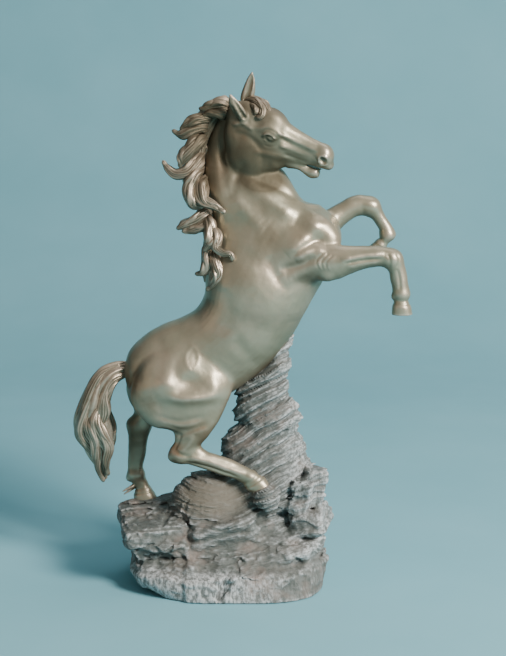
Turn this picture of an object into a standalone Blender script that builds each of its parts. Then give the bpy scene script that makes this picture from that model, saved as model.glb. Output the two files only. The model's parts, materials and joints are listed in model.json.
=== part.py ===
"""Rearing horse statuette on a rock outcrop.

Sectional bronze castings are located on steel dowels, and the horse stands on two cast-stone rocks
that one long tie rod pulls together. Right is the horse's own right side, at -Y; it faces +X.
"""

import math

import bmesh
import bpy
from mathutils import Vector

# Driving dimensions, in metres.
STATUE_HEIGHT = 0.380  # floor to ear tip
BODY_WIDTH = 0.056  # barrel of the horse, side to side
ROCK_DEPTH = 0.124  # rock base, front to back
GAP = 0.0003  # between pieces that meet
TRUNK_WALL = 0.004  # bronze of the hollow trunk casting

NECK_DOWEL_DIAMETER, NECK_DOWEL_LENGTH = 0.006, 0.024
HEAD_DOWEL_DIAMETER, HEAD_DOWEL_LENGTH = 0.004, 0.018
TAIL_DOWEL_DIAMETER, TAIL_DOWEL_LENGTH = 0.003, 0.018
LEG_DOWEL_DIAMETER, LEG_DOWEL_LENGTH = 0.004, 0.018
HOOF_DOWEL_DIAMETER, HOOF_DOWEL_LENGTH = 0.003, 0.016
ROCK_DOWEL_DIAMETER, ROCK_DOWEL_LENGTH = 0.005, 0.020

ROD_DIAMETER = 0.006
ROD_BOSS_WALL = 0.004  # bronze around the rod's end inside the trunk
ROD_BOSS_HEIGHT = 0.014
WASHER_DIAMETER, WASHER_THICKNESS = 0.014, 0.0012
NUT_ACROSS_FLATS, NUT_HEIGHT = 0.010, 0.005
ROD_END = 0.003  # rod showing below the nut
ROD_RUN_OUT = 0.021  # how far the rod's hole runs past each end of it

FELT_THICKNESS = 0.0015
FELT_PROUD = 0.0006  # how far the felt stands below the rock's rim
PLATE_THICKNESS = 0.002
PLATE_RIM = 0.009  # rock left around the plate's seat
SEAT_WIDTH = 0.012  # ledge that the plate is screwed to
POCKET_TOP = 0.032  # ceiling of the hollow under the rock, above the floor
SCREW_DIAMETER, SCREW_HEAD_DIAMETER = 0.003, 0.0056
SCREW_LENGTH, SCREW_HEAD_HEIGHT = 0.011, 0.0015
CHAMFER = 0.0004

# The sculpted forms are drawn in millimetres, for a statue, a barrel and a rock of these sizes.
DRAWN_HEIGHT, DRAWN_BARREL, DRAWN_ROCK = 380.0, 56.0, 124.0
UNIT = STATUE_HEIGHT / DRAWN_HEIGHT  # metres for one drawn millimetre in X and Z
SIDE = BODY_WIDTH / DRAWN_BARREL  # the same along Y, on the horse
ROCK_SIDE = ROCK_DEPTH / DRAWN_ROCK  # the same along Y, on the rocks
BEYOND = 0.010  # how far a cutter runs past the face it opens

HORSE_SIDES, LIMB_SIDES, LOCK_SIDES, ROCK_SIDES, ROUND_SIDES = 18, 12, 8, 24, 12

# A section of a casting: upper or rear edge (x, z), lower or front edge (x, z), middle y, half width.
TRUNK = (
    (-87, 163, -84, 146, 0, 7),
    (-83, 175, -78, 134, 0, 15),
    (-74, 185, -66, 127, 0, 21),
    (-60, 194, -48, 126, 0, 24),
    (-45, 200, -24, 134, 0, 25),
    (-33, 207, 0, 148, 0, 25.5),
    (-27, 217, 20, 164, 0, 27),
    (-26, 229, 39, 188, 0, 28),
    (-24, 241, 52, 212, 0, 28),
    (-20, 254, 64, 233, 0, 27),
    (-15, 266, 73, 249, 0, 26),
    (-4, 277, 74, 264, 0, 24),
    (12, 285, 68, 276, 0, 18),
    (30, 288, 58, 284, 0, 9),
)
NECK = (
    (-17, 258, 50, 266, 0, 16),
    (-19, 270, 48, 279, 0, 19),
    (-21, 281, 45, 287, 0, 18),
    (-25, 295, 40, 296, 0, 16),
    (-26, 310, 33, 307, 0, 14),
    (-24, 325, 22, 319, 0, 12.5),
    (-20, 339, 13, 331, 0, 11),
    (-13, 350, 8, 341, 0, 8.5),
    (-5, 356, 4, 350, 0, 5),
)
SKULL = (
    (-8, 354, -10, 332, 0, 5),
    (-4, 360.5, -7, 317, 0, 9),
    (4, 361.5, 0, 308.5, 0, 11.5),
    (13, 360, 9, 305, 0, 12),
    (21, 356, 17, 305, 0, 12),
    (29, 353, 25, 308, 0, 11),
    (34, 346.5, 31, 310.5, 0, 9.5),
    (43, 339.5, 38, 311, 0, 7.5),
    (51, 334, 46, 311, 0, 6.6),
    (58, 331, 54, 311, 0, 6.4),
    (64, 327.5, 61, 310, 0, 6.6),
    (68, 322, 66, 311, 0, 5),
)
CHIN = (
    (36, 315, 36, 309.5, 0, 4),
    (45, 311, 45, 306, 0, 4.8),
    (52, 308.6, 52, 303.8, 0, 5),
    (57.5, 308, 57.5, 305.4, 0, 3.6),
)
LEFT_EAR = (
    (0, 354, 9, 352, 6, 2.5),
    (-0.5, 361, 10, 361, 7, 3.4),
    (2, 368, 11, 368, 7.6, 3),
    (5.5, 375, 10.6, 375, 8, 2),
    (9, 379, 9.6, 379, 8, 0.6),
)
RIGHT_EAR = (
    (7, 346, 1, 343, -8, 2.5),
    (5, 353, -3, 350, -9.5, 3.6),
    (3, 359.5, -6, 356, -10, 3),
    (-1, 363.5, -6, 361.5, -10, 1.6),
    (-4.4, 364.5, -5, 364, -10, 0.5),
)
FORELOCK = (
    (1, 361, 5, 353, -2, 3),
    (7, 363, 9, 355, -3, 5),
    (14, 360.5, 12, 352, -5, 5.4),
    (19, 356.5, 15, 349, -7, 4.4),
    (20.5, 353.5, 18, 350, -8, 2),
)
CREST = (
    (-1, 363, 3, 352, 0, 3),
    (-12, 362.5, -7, 350, 0, 5),
    (-21, 357, -13, 346, 0, 6),
    (-27, 345, -17, 337, 0, 6.5),
    (-31, 331, -20, 326, 0, 6.5),
    (-34, 316, -21, 313, 0, 6.5),
    (-33, 302, -20, 300, 0, 6.5),
    (-30, 289, -17, 288, 0, 6),
    (-27, 277, -15, 277, 0, 5.5),
    (-26, 264, -15, 264, 0, 5),
    (-28, 252, -17, 251, 0, 4.5),
    (-30, 240, -20, 238, 0, 4),
    (-29, 230, -22, 229, 0, 2.5),
)
TAIL = (
    (-78, 169, -76, 155, 0, 4),
    (-86, 169, -85, 154, 0, 5),
    (-94, 166.5, -91, 152.5, 0, 6),
    (-102, 161.5, -95.5, 147, 0, 7),
    (-109, 155, -98.5, 139, 0, 8),
    (-116, 145.5, -100.5, 130, 0, 9),
    (-121.5, 132, -100, 121, 0, 10),
    (-125, 118, -97.5, 112, 0, 10.5),
    (-125, 108, -96, 104, 0, 9.5),
    (-118, 99, -96, 96, 0, 7.5),
    (-112, 90, -98, 88, 0, 5.5),
    (-107, 81, -99.5, 81, 0, 3.5),
    (-103, 75, -101, 75, 0, 1.2),
)
RIGHT_FORELEG = (
    (50, 256, 50, 236, -17, 8),
    (60, 257, 60, 232.5, -19, 9.5),
    (70, 256.5, 71, 232, -21, 9.5),
    (81, 256.5, 80, 236, -22, 8.4),
    (92, 256.5, 90, 239.5, -22, 7.4),
    (103, 256, 102, 241.5, -22, 7),
    (111.5, 253.5, 106, 240, -22, 7),
    (117, 246.5, 108, 236.5, -22, 6),
    (119.5, 238.5, 109.5, 232, -22, 5),
    (121.5, 229, 111, 227.5, -22, 5.4),
    (123, 221.5, 111.5, 221, -22, 5.8),
    (121.5, 216, 112, 216.5, -22, 5),
    (124.5, 210.5, 110.5, 211.5, -22, 6.4),
    (125, 206.5, 110.5, 206.5, -22, 6.8),
)
LEFT_FORELEG = (
    (56, 276, 60, 258, 16, 8),
    (65, 279, 70, 260, 18, 8.5),
    (74, 284, 80, 269, 20, 8),
    (82, 288.5, 86, 273, 20, 7.2),
    (89, 290, 90, 274, 20, 6.8),
    (98, 287.5, 94, 273.5, 20, 6.6),
    (104, 281.5, 98, 271.5, 20, 5.6),
    (108.5, 273.5, 101.5, 267, 20, 4.8),
    (114.5, 264, 104, 262, 20, 5.2),
    (115, 258, 104.5, 257.5, 20, 5.6),
    (110, 252.5, 103.5, 256, 20, 5),
    (108, 245.5, 99, 253.5, 20, 6),
    (104, 240, 93.5, 249, 20, 6.6),
)
RIGHT_HIND_LEG = (
    (-52, 178, -26, 178, -15, 7),
    (-68, 168, -14, 168, -17, 10),
    (-78, 156, -8, 158, -18, 11.5),
    (-81, 144, -6.5, 149, -18.5, 12),
    (-76, 132, -10, 139, -19, 12),
    (-66, 123, -14, 130, -20, 11),
    (-50, 118.5, -18, 123, -21, 9),
    (-48.5, 112, -24, 115, -22, 7.4),
    (-51.5, 104.5, -29, 108, -22, 6.8),
    (-49, 96.5, -24, 104, -22, 6),
    (-38, 94, -17, 101, -22, 5),
    (-26, 90, -7, 97.5, -22, 4.8),
    (-14, 85.5, 2, 93, -22, 5),
    (-4, 82.5, 9, 89.5, -22, 5.4),
    (0, 77.5, 15, 86, -22, 6.4),
    (6, 74, 18, 82, -22, 6.6),
)
LEFT_HIND_LEG = (
    (-56, 176, -30, 172, 15, 7),
    (-72, 166, -26, 160, 17, 10),
    (-84, 154, -34, 150, 18, 11),
    (-87, 144, -46, 141, 18.5, 11),
    (-85, 133, -57, 131, 19, 10),
    (-81.5, 125, -63, 121, 20, 8),
    (-85.5, 115, -69, 109, 20, 6.6),
    (-86, 104, -71.5, 101, 20, 5.8),
    (-86.5, 91, -73, 90, 20, 5.2),
    (-87, 80, -75, 80, 20, 5.2),
    (-86.5, 73, -74, 74.5, 20, 5.6),
    (-82.5, 65.5, -71.5, 68, 20, 5),
    (-81.5, 60, -68, 62.5, 20, 6.4),
    (-80, 53, -64, 55, 20, 7),
)

# A lock of the mane: points (x, y, z) along its middle, each with its half thickness and half width.
MANE_LOCKS = (
    ((-10, -2, 357, 5, 5), (-18, -3, 357.5, 5, 5), (-24, -4, 356, 3.8, 4), (-29.5, -5, 354.5, 1.4, 1.6)),
    ((-18, -3, 345, 6, 5.5), (-29, -4, 345, 5.4, 5.5), (-38, -5, 343, 4.4, 5), (-44, -5, 339.5, 3.4, 3.6),
     (-49.5, -5, 339, 1.2, 1.4)),
    ((-24, -3, 332, 6, 6), (-34, -4, 327, 6.4, 6.4), (-40, -5, 319, 5.6, 6), (-46.5, -5, 312, 4, 5),
     (-52.5, -5, 311.5, 3, 4), (-57, -5, 317, 1.1, 1.5)),
    ((-26, -3, 312, 6, 6), (-33, -5, 304, 6.2, 6), (-37, -7, 294.5, 6, 6), (-32, -10, 286.5, 5, 5),
     (-22, -14, 284.5, 3.4, 3), (-12, -18, 280.5, 1.3, 1.4)),
    ((-20, -3, 276.5, 5.5, 5.5), (-30, -4, 275, 5.2, 5.5), (-39, -4, 271, 4.2, 5), (-46.5, -4, 269.5, 1.4, 2)),
    ((-24, -6, 270, 5, 4), (-22, -11, 262, 4.6, 4.4), (-18, -15, 254.5, 3.6, 3.4), (-10.5, -20, 252.5, 2.2, 2.6),
     (-5.5, -22, 246, 0.9, 1.2)),
    ((-24, -4, 256, 4, 4), (-25.5, -6, 247, 4.4, 4.4), (-28, -7, 239, 3.8, 4), (-33, -7, 235, 1.3, 1.6)),
    ((-21, -9, 246, 3, 3.2), (-19.5, -13, 237, 3.4, 3.4), (-21.5, -13, 229, 2.6, 3), (-25.5, -11, 223, 1, 1.2)),
    ((-20, 4, 350, 5, 5), (-30, 7, 347, 4.6, 4.6), (-37, 9, 341.5, 3.4, 4), (-43, 10, 337, 1.2, 1.5)),
    ((-24, 4, 322, 6, 5), (-32, 8, 314, 5.6, 5), (-36, 11, 304, 4.6, 4.4), (-42, 12, 298, 1.5, 1.6)),
    ((-24, 5, 297, 5, 4), (-27, 11, 289, 5, 4.4), (-25, 16, 280, 4.4, 4), (-30, 18, 272, 1.4, 1.6)),
    ((-20, 6, 270, 4.6, 4), (-21, 12, 261, 4.6, 4.2), (-18, 17, 252, 3.8, 3.6), (-22, 21, 244, 1.3, 1.5)),
    ((-24, 5, 250, 4, 4), (-25, 9, 241, 4, 4), (-23.5, 12, 232, 3.2, 3.4), (-27, 13, 225, 1.1, 1.3)),
)

# A section of rock: height, middle x, half width, middle y, half depth, turn of its lobes in degrees.
ROCK_BASE = (
    (0, 0, 64, 0, 61, 0),
    (13, -3, 68, 0, 61, 6),
    (17, -6, 67, 0, 58, 12),
    (32, -11, 73, 2, 53, 20),
    (42, -12, 76, 4, 46, 25),
    (50, -11, 70, 6, 39, 32),
    (57, -4, 59, 8, 33, 38),
    (66, 10, 42, 9, 27, 45),
)
ROCK_PILLAR = (
    (52, 20, 42, 6, 30, 10),
    (64, 22, 42, 5, 30, 16),
    (76, 23, 38, 3, 28, 22),
    (88, 20, 34.5, 2, 25, 30),
    (99, 18, 31, 1, 21, 38),
    (110, 18.5, 28, 1, 19, 46),
    (119, 21.5, 22, 0, 17, 52),
    (129, 21, 24, 0, 16.5, 60),
    (139, 16.5, 20, 0, 15, 70),
    (151, 18.5, 16, 0, 13.5, 80),
    (162, 23.5, 12.5, 0, 12, 90),
    (173, 29, 8.5, 0, 9.5, 100),
    (184, 33.5, 5, 0, 6, 110),
)
# Lobes around a rock: how many, and how deep as a share of the radius.
BASE_LOBES = ((3, 0.035), (5, 0.03), (8, 0.022))
PILLAR_LOBES = ((2, 0.03), (5, 0.05), (9, 0.03))

BRONZE = ((0.26, 0.24, 0.19), 0.38, 1.0)
WARM_BRONZE = ((0.36, 0.27, 0.21), 0.34, 1.0)
STONE = ((0.17, 0.18, 0.17), 0.88, 0.0)
STEEL = ((0.55, 0.56, 0.57), 0.32, 1.0)
FELT = ((0.03, 0.05, 0.04), 0.97, 0.0)


# ---- scene, materials and plain pieces ----


def clear_scene():
    for thing in list(bpy.data.objects):
        bpy.data.objects.remove(thing, do_unlink=True)


def collection(name):
    made = bpy.data.collections.new(name)
    bpy.context.scene.collection.children.link(made)
    return made


def material(name, finish):
    colour, roughness, metallic = finish
    made = bpy.data.materials.new(name)
    made.use_nodes = True
    shader = made.node_tree.nodes["Principled BSDF"]
    shader.inputs["Base Color"].default_value = (*colour, 1.0)
    shader.inputs["Roughness"].default_value = roughness
    shader.inputs["Metallic"].default_value = metallic
    return made


def add_object(name, mesh, finish=None):
    """A visible piece when it has a finish, otherwise a cutter."""
    piece = bpy.data.objects.new(name, mesh)
    if finish:
        PIECES.objects.link(piece)
        mesh.materials.append(material(name, finish))
        return piece
    CUTTERS.objects.link(piece)
    piece.hide_render = True
    piece.display_type = "WIRE"
    return piece


def boolean(piece, operation, *others):
    for other in others:
        step = piece.modifiers.new(f"{operation.lower()} {other.name}", "BOOLEAN")
        step.operation = operation
        step.solver = "EXACT"
        step.object = other


def turned(name, profile, finish=None, at=Vector(), along=Vector((0, 0, 1)), closed=False):
    """A round piece from (radius, height) points that run down its outer side."""
    mesh = bpy.data.meshes.new(name)
    count = len(profile)
    edges = [(i, i + 1) for i in range(count - 1)] + ([(count - 1, 0)] if closed else [])
    mesh.from_pydata([(radius, 0, height) for radius, height in profile], edges, [])
    piece = add_object(name, mesh, finish)
    piece.location = at
    piece.rotation_mode = "QUATERNION"
    piece.rotation_quaternion = Vector(along).to_track_quat("Z", "Y")
    screw = piece.modifiers.new("turn", "SCREW")
    screw.steps = screw.render_steps = ROUND_SIDES
    screw.use_merge_vertices = True
    screw.merge_threshold = 0.00001
    return piece


def pin(name, diameter, length, at, along, finish=None, grow=0.0):
    """A chamfered cylinder whose middle is at a point."""
    radius, half = diameter / 2 + grow, length / 2 + grow
    flat = radius - CHAMFER
    profile = ((0, half), (flat, half), (radius, half - CHAMFER), (radius, CHAMFER - half), (flat, -half), (0, -half))
    return turned(name, profile, finish, at, along)


# ---- sculpted forms ----


def section_ring(section, grow, sides):
    """Points around one section of a casting, in metres, with its size grown by a clearance."""
    x1, z1, x2, z2, y, half_width = section
    upper = Vector((x1, 0, z1)) * UNIT
    lower = Vector((x2, 0, z2)) * UNIT
    middle = (upper + lower) / 2 + Vector((0, y * SIDE, 0))
    half = (upper - lower) / 2
    across = half.normalized() * (half.length + grow)
    sideways = Vector((0, half_width * SIDE + grow, 0))
    turns = [2 * math.pi * i / sides for i in range(sides)]
    return [middle + across * math.cos(turn) + sideways * math.sin(turn) for turn in turns]


def rock_ring(section, grow, sides, lobes):
    """Points around one level section of rock, whose lobes turn with its height."""
    height, middle_x, half_x, middle_y, half_y, turn = section
    ring = []
    for i in range(sides):
        angle = 2 * math.pi * i / sides
        swell = 1 + sum(depth * math.cos(count * angle + math.radians(turn * count)) for count, depth in lobes)
        x = middle_x * UNIT + (half_x * UNIT * swell + grow) * math.cos(angle)
        y = middle_y * ROCK_SIDE + (half_y * ROCK_SIDE * swell + grow) * math.sin(angle)
        ring.append(Vector((x, y, height * UNIT)))
    return ring


def middle_of(ring):
    return sum(ring, Vector()) / len(ring)


def skin(name, rings, grow=0.0, dome=0.0008):
    """A closed mesh through a row of rings; each end is a low dome, moved out by a clearance."""
    form = bmesh.new()
    rows = []
    outward = ((middle_of(rings[0]) - middle_of(rings[1])).normalized(),
               (middle_of(rings[-1]) - middle_of(rings[-2])).normalized())
    for index, ring in enumerate(rings):
        shift = outward[0] * grow if index == 0 else outward[1] * grow if index == len(rings) - 1 else Vector()
        rows.append([form.verts.new(point + shift) for point in ring])
    sides = len(rings[0])
    for row, after in zip(rows, rows[1:]):
        for i in range(sides):
            form.faces.new((row[i], row[(i + 1) % sides], after[(i + 1) % sides], after[i]))
    for row, ring, direction in ((rows[0], rings[0], outward[0]), (rows[-1], rings[-1], outward[1])):
        tip = form.verts.new(middle_of(ring) + direction * (grow + dome))
        for i in range(sides):
            form.faces.new((row[i], row[(i + 1) % sides], tip))
    bmesh.ops.recalc_face_normals(form, faces=form.faces)
    # One fixed diagonal in each face, so that a piece and the cutter grown from it never cross.
    bmesh.ops.triangulate(form, faces=form.faces, quad_method="FIXED")
    mesh = bpy.data.meshes.new(name)
    form.to_mesh(mesh)
    form.free()
    mesh.shade_smooth()
    return mesh


def casting_mesh(name, sections, sides, grow=0.0):
    return skin(name, [section_ring(section, grow, sides) for section in sections], grow)


def rock_mesh(name, sections, lobes, grow=0.0):
    return skin(name, [rock_ring(section, grow, ROCK_SIDES, lobes) for section in sections], grow)


def lock_sections(points):
    """Turns a lock's middle points into sections square to its run in the XZ plane."""
    sections = []
    for index, (x, y, z, thick, wide) in enumerate(points):
        before = points[max(index - 1, 0)]
        after = points[min(index + 1, len(points) - 1)]
        run = Vector((after[0] - before[0], after[2] - before[2])).normalized() * thick
        sections.append((x - run.y, z + run.x, x + run.y, z - run.x, y, wide))
    return sections


def clearance_of(name, sections, sides):
    """A cutter that is a casting's own form, grown by the gap."""
    return add_object(f"clear_{name}", casting_mesh(f"clear_{name}", sections, sides, GAP))


def casting(name, sections, sides, finish=BRONZE, cut_by=()):
    """The piece and its clearance cutter; it is cut by the clearances of the pieces it meets."""
    piece = add_object(name, casting_mesh(name, sections, sides), finish)
    boolean(piece, "DIFFERENCE", *cut_by)
    return piece, clearance_of(name, sections, sides)


def horse_point(x, y, z):
    return Vector((x * UNIT, y * SIDE, z * UNIT))


def doweled(name, diameter, length, start, end, *holders):
    """A dowel halfway between two points, and its hole in each piece that holds it."""
    at, along = (start + end) / 2, (end - start).normalized()
    pin(name, diameter, length, at, along, STEEL)
    boolean_hole(pin(f"hole_{name}", diameter, length, at, along, grow=GAP), *holders)


def boolean_hole(cutter, *holders):
    for holder in holders:
        boolean(holder, "DIFFERENCE", cutter)


# ---- the horse ----


def make_trunk():
    """A hollow casting; a boss inside the belly takes the tie rod."""
    trunk, clear = casting("trunk", TRUNK, HORSE_SIDES)
    core = add_object("trunk_core", casting_mesh("trunk_core", TRUNK[2:-2], HORSE_SIDES, -TRUNK_WALL))
    boss = pin("rod_boss", ROD_DIAMETER + 2 * ROD_BOSS_WALL, 2 * ROD_BOSS_HEIGHT, rod_top(), (0, 0, 1))
    boolean(core, "DIFFERENCE", boss)
    boolean(trunk, "DIFFERENCE", core)
    return trunk, clear


def make_head(clear_neck):
    """Skull with its chin and ears, cast in one."""
    head = add_object("head", casting_mesh("head", SKULL, HORSE_SIDES), BRONZE)
    features = {"chin": (CHIN, 10), "left_ear": (LEFT_EAR, 8), "right_ear": (RIGHT_EAR, 8)}
    for name, (sections, sides) in features.items():
        boolean(head, "UNION", add_object(f"form_{name}", casting_mesh(f"form_{name}", sections, sides)))
    boolean(head, "DIFFERENCE", clear_neck)
    clearances = [clearance_of("skull", SKULL, HORSE_SIDES)]
    clearances += [clearance_of(name, sections, sides) for name, (sections, sides) in features.items()]
    return head, clearances


def make_mane(clear_trunk, clear_neck, clear_head):
    body = [clear_trunk, clear_neck, *clear_head]
    _, clear_crest = casting("mane_crest", CREST, LIMB_SIDES, BRONZE, body)
    clear_before = [clear_crest]
    for number, points in enumerate(MANE_LOCKS, start=1):
        name = f"mane_lock_{number}"
        near = [clear_trunk, clear_neck, clear_head[0], *clear_before]
        _, clear = casting(name, lock_sections(points), LOCK_SIDES, WARM_BRONZE, near)
        clear_before.append(clear)
    casting("forelock", FORELOCK, LIMB_SIDES, WARM_BRONZE, clear_head)


def make_horse():
    """All the bronze castings and the dowels between them; returns the clearances the rocks need."""
    trunk, clear_trunk = make_trunk()
    neck, clear_neck = casting("neck", NECK, HORSE_SIDES, BRONZE, [clear_trunk])
    head, clear_head = make_head(clear_neck)
    make_mane(clear_trunk, clear_neck, clear_head)
    tail, _ = casting("tail", TAIL, LIMB_SIDES, WARM_BRONZE, [clear_trunk])
    legs, clear_legs = {}, {}
    forms = {
        "right_foreleg": RIGHT_FORELEG,
        "left_foreleg": LEFT_FORELEG,
        "right_hind_leg": RIGHT_HIND_LEG,
        "left_hind_leg": LEFT_HIND_LEG,
    }
    for name, sections in forms.items():
        legs[name], clear_legs[name] = casting(name, sections, LIMB_SIDES, BRONZE, [clear_trunk])
    doweled("neck_dowel", NECK_DOWEL_DIAMETER, NECK_DOWEL_LENGTH,
            horse_point(24, 0, 262), horse_point(16, 0, 302), neck, trunk)
    doweled("head_dowel", HEAD_DOWEL_DIAMETER, HEAD_DOWEL_LENGTH,
            horse_point(-8, 0, 332), horse_point(18, 0, 338), head, neck)
    doweled("tail_dowel", TAIL_DOWEL_DIAMETER, TAIL_DOWEL_LENGTH,
            horse_point(-74, 0, 163), horse_point(-98, 0, 158), tail, trunk)
    doweled("right_foreleg_dowel", LEG_DOWEL_DIAMETER, LEG_DOWEL_LENGTH,
            horse_point(48, -18, 245), horse_point(68, -20, 245), legs["right_foreleg"], trunk)
    doweled("left_foreleg_dowel", LEG_DOWEL_DIAMETER, LEG_DOWEL_LENGTH,
            horse_point(52, 14, 263), horse_point(70, 18, 271), legs["left_foreleg"], trunk)
    doweled("right_hip_dowel", LEG_DOWEL_DIAMETER, LEG_DOWEL_LENGTH,
            horse_point(-40, -8, 155), horse_point(-40, -26, 155), legs["right_hind_leg"], trunk)
    doweled("left_hip_dowel", LEG_DOWEL_DIAMETER, LEG_DOWEL_LENGTH,
            horse_point(-58, 8, 150), horse_point(-58, 26, 150), legs["left_hind_leg"], trunk)
    return trunk, clear_trunk, legs, clear_legs


# ---- the rocks ----


def rod_top():
    """Where the tie rod ends, inside the belly."""
    return horse_point(22, 0, 170) + Vector((0, 0, ROD_BOSS_HEIGHT / 2))


def inset_rock(name, z_low, z_high, inset, finish=None):
    """An upright block with the outline of the rock's foot, drawn in by an inset."""
    foot = rock_ring(ROCK_BASE[0], -inset, ROCK_SIDES, BASE_LOBES)
    rings = [[Vector((point.x, point.y, z)) for point in foot] for z in (z_low, z_high)]
    return add_object(name, skin(name, rings, dome=0.0), finish)


def make_rocks(trunk, clear_trunk, legs, clear_legs):
    base = add_object("rock_base", rock_mesh("rock_base", ROCK_BASE, BASE_LOBES), STONE)
    pillar = add_object("rock_pillar", rock_mesh("rock_pillar", ROCK_PILLAR, PILLAR_LOBES), STONE)
    clear_pillar = add_object("clear_pillar", rock_mesh("clear_pillar", ROCK_PILLAR, PILLAR_LOBES, GAP))
    boolean(pillar, "DIFFERENCE", clear_trunk, clear_legs["right_hind_leg"])
    boolean(base, "DIFFERENCE", clear_pillar, clear_legs["left_hind_leg"], clear_legs["right_hind_leg"])
    doweled("left_hoof_dowel", HOOF_DOWEL_DIAMETER, HOOF_DOWEL_LENGTH,
            horse_point(-72, 20, 62), horse_point(-70, 20, 42), legs["left_hind_leg"], base)
    doweled("right_hoof_dowel", HOOF_DOWEL_DIAMETER, HOOF_DOWEL_LENGTH,
            horse_point(8, -21, 82), horse_point(18, -14, 75), legs["right_hind_leg"], pillar)
    doweled("rock_dowel", ROCK_DOWEL_DIAMETER, ROCK_DOWEL_LENGTH,
            horse_point(46, 0, 62), horse_point(46, 0, 42), pillar, base)
    make_tie_rod(trunk, pillar, base)
    make_underside(base)


def make_tie_rod(trunk, pillar, base):
    """The rod runs from the belly boss down through both rocks to a nut in the hollow below."""
    top = rod_top()
    washer_top = POCKET_TOP - GAP
    nut_top = washer_top - WASHER_THICKNESS - GAP
    bottom = nut_top - NUT_HEIGHT - ROD_END
    middle = Vector((top.x, top.y, (top.z + bottom) / 2))
    up = Vector((0, 0, 1))
    pin("tie_rod", ROD_DIAMETER, top.z - bottom, middle, up, STEEL)
    hole_length = top.z - bottom + 2 * ROD_RUN_OUT
    way = pin("hole_tie_rod", ROD_DIAMETER, hole_length, middle, up, grow=GAP)
    boolean_hole(way, trunk, pillar, base)
    bore = ROD_DIAMETER / 2 + GAP
    rim = WASHER_DIAMETER / 2
    washer_low = washer_top - WASHER_THICKNESS
    ring = ((rim, washer_top), (rim, washer_low), (bore, washer_low), (bore, washer_top))
    turned("rod_washer", ring, STEEL, Vector((top.x, top.y, 0)), closed=True)
    make_nut(Vector((top.x, top.y, nut_top - NUT_HEIGHT / 2)), way)


def make_nut(at, bore):
    form = bmesh.new()
    radius = NUT_ACROSS_FLATS / math.sqrt(3)
    bmesh.ops.create_cone(form, cap_ends=True, segments=6, radius1=radius, radius2=radius, depth=NUT_HEIGHT)
    mesh = bpy.data.meshes.new("rod_nut")
    form.to_mesh(mesh)
    form.free()
    nut = add_object("rod_nut", mesh, STEEL)
    nut.location = at
    boolean(nut, "DIFFERENCE", bore)


def make_underside(base):
    """The hollow under the rock, its screwed closing plate and the felt over it."""
    rim = FELT_PROUD
    plate_low = FELT_THICKNESS + GAP
    plate_high = plate_low + PLATE_THICKNESS
    below = -BEYOND
    boolean(base, "DIFFERENCE", inset_rock("cut_under_rim", below, rim, -BEYOND))
    boolean(base, "DIFFERENCE", inset_rock("cut_seat", below, plate_high + GAP, PLATE_RIM - GAP))
    boolean(base, "DIFFERENCE", inset_rock("cut_pocket", below, POCKET_TOP, PLATE_RIM + SEAT_WIDTH))
    inset_rock("felt_pad", 0, FELT_THICKNESS, PLATE_RIM, FELT)
    plate = inset_rock("closing_plate", plate_low, plate_high, PLATE_RIM, STEEL)
    ledge = rock_ring(ROCK_BASE[0], -PLATE_RIM - SEAT_WIDTH / 2, ROCK_SIDES, BASE_LOBES)
    for quarter, side in enumerate(("right", "back", "left", "front")):
        spot = ledge[quarter * ROCK_SIDES // 4]
        at = Vector((spot.x, spot.y, plate_low))
        name = f"plate_screw_{side}"
        turned(name, screw_profile(0.0), STEEL, at, (0, 0, -1))
        boolean_hole(turned(f"hole_{name}", screw_profile(GAP), None, at, (0, 0, -1)), plate, base)


def screw_profile(grow):
    """A countersunk screw whose head is flush at height 0 and whose shank runs down from it."""
    head, shank = SCREW_HEAD_DIAMETER / 2 + grow, SCREW_DIAMETER / 2 + grow
    top = grow
    end = -SCREW_LENGTH - grow
    return ((0, top), (head, top), (head, -CHAMFER), (shank, -SCREW_HEAD_HEIGHT - grow),
            (shank, end + CHAMFER), (shank - CHAMFER, end), (0, end))


clear_scene()
PIECES = collection("Horse statuette")
CUTTERS = collection("Cutters")
make_rocks(*make_horse())
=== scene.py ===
"""Rearing bronze horse statuette on a rock: fine surfaces, finishes, light and camera."""

import json
import math

import bpy
import numpy as np
import openvdb as vdb
from mathutils import Euler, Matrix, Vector


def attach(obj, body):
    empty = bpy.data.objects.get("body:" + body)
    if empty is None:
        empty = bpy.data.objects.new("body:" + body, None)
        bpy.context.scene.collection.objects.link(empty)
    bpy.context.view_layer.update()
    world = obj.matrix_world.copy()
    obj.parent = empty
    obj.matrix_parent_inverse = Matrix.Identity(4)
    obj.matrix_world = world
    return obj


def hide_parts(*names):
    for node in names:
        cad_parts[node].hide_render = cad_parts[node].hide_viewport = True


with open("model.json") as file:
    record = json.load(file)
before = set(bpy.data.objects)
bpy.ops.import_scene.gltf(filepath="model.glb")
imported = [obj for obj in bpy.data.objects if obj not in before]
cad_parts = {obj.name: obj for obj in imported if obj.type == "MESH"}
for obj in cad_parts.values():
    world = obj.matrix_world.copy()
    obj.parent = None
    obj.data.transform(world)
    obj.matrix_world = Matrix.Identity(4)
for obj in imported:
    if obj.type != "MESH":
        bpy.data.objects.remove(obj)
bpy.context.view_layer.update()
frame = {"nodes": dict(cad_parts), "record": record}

MM = 0.001
RIGHT, LEFT = -1.0, 1.0  # the horse's own sides; its right faces the camera

# ---------------------------------------------------------------------------
# Numbers and curves
# ---------------------------------------------------------------------------


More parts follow.
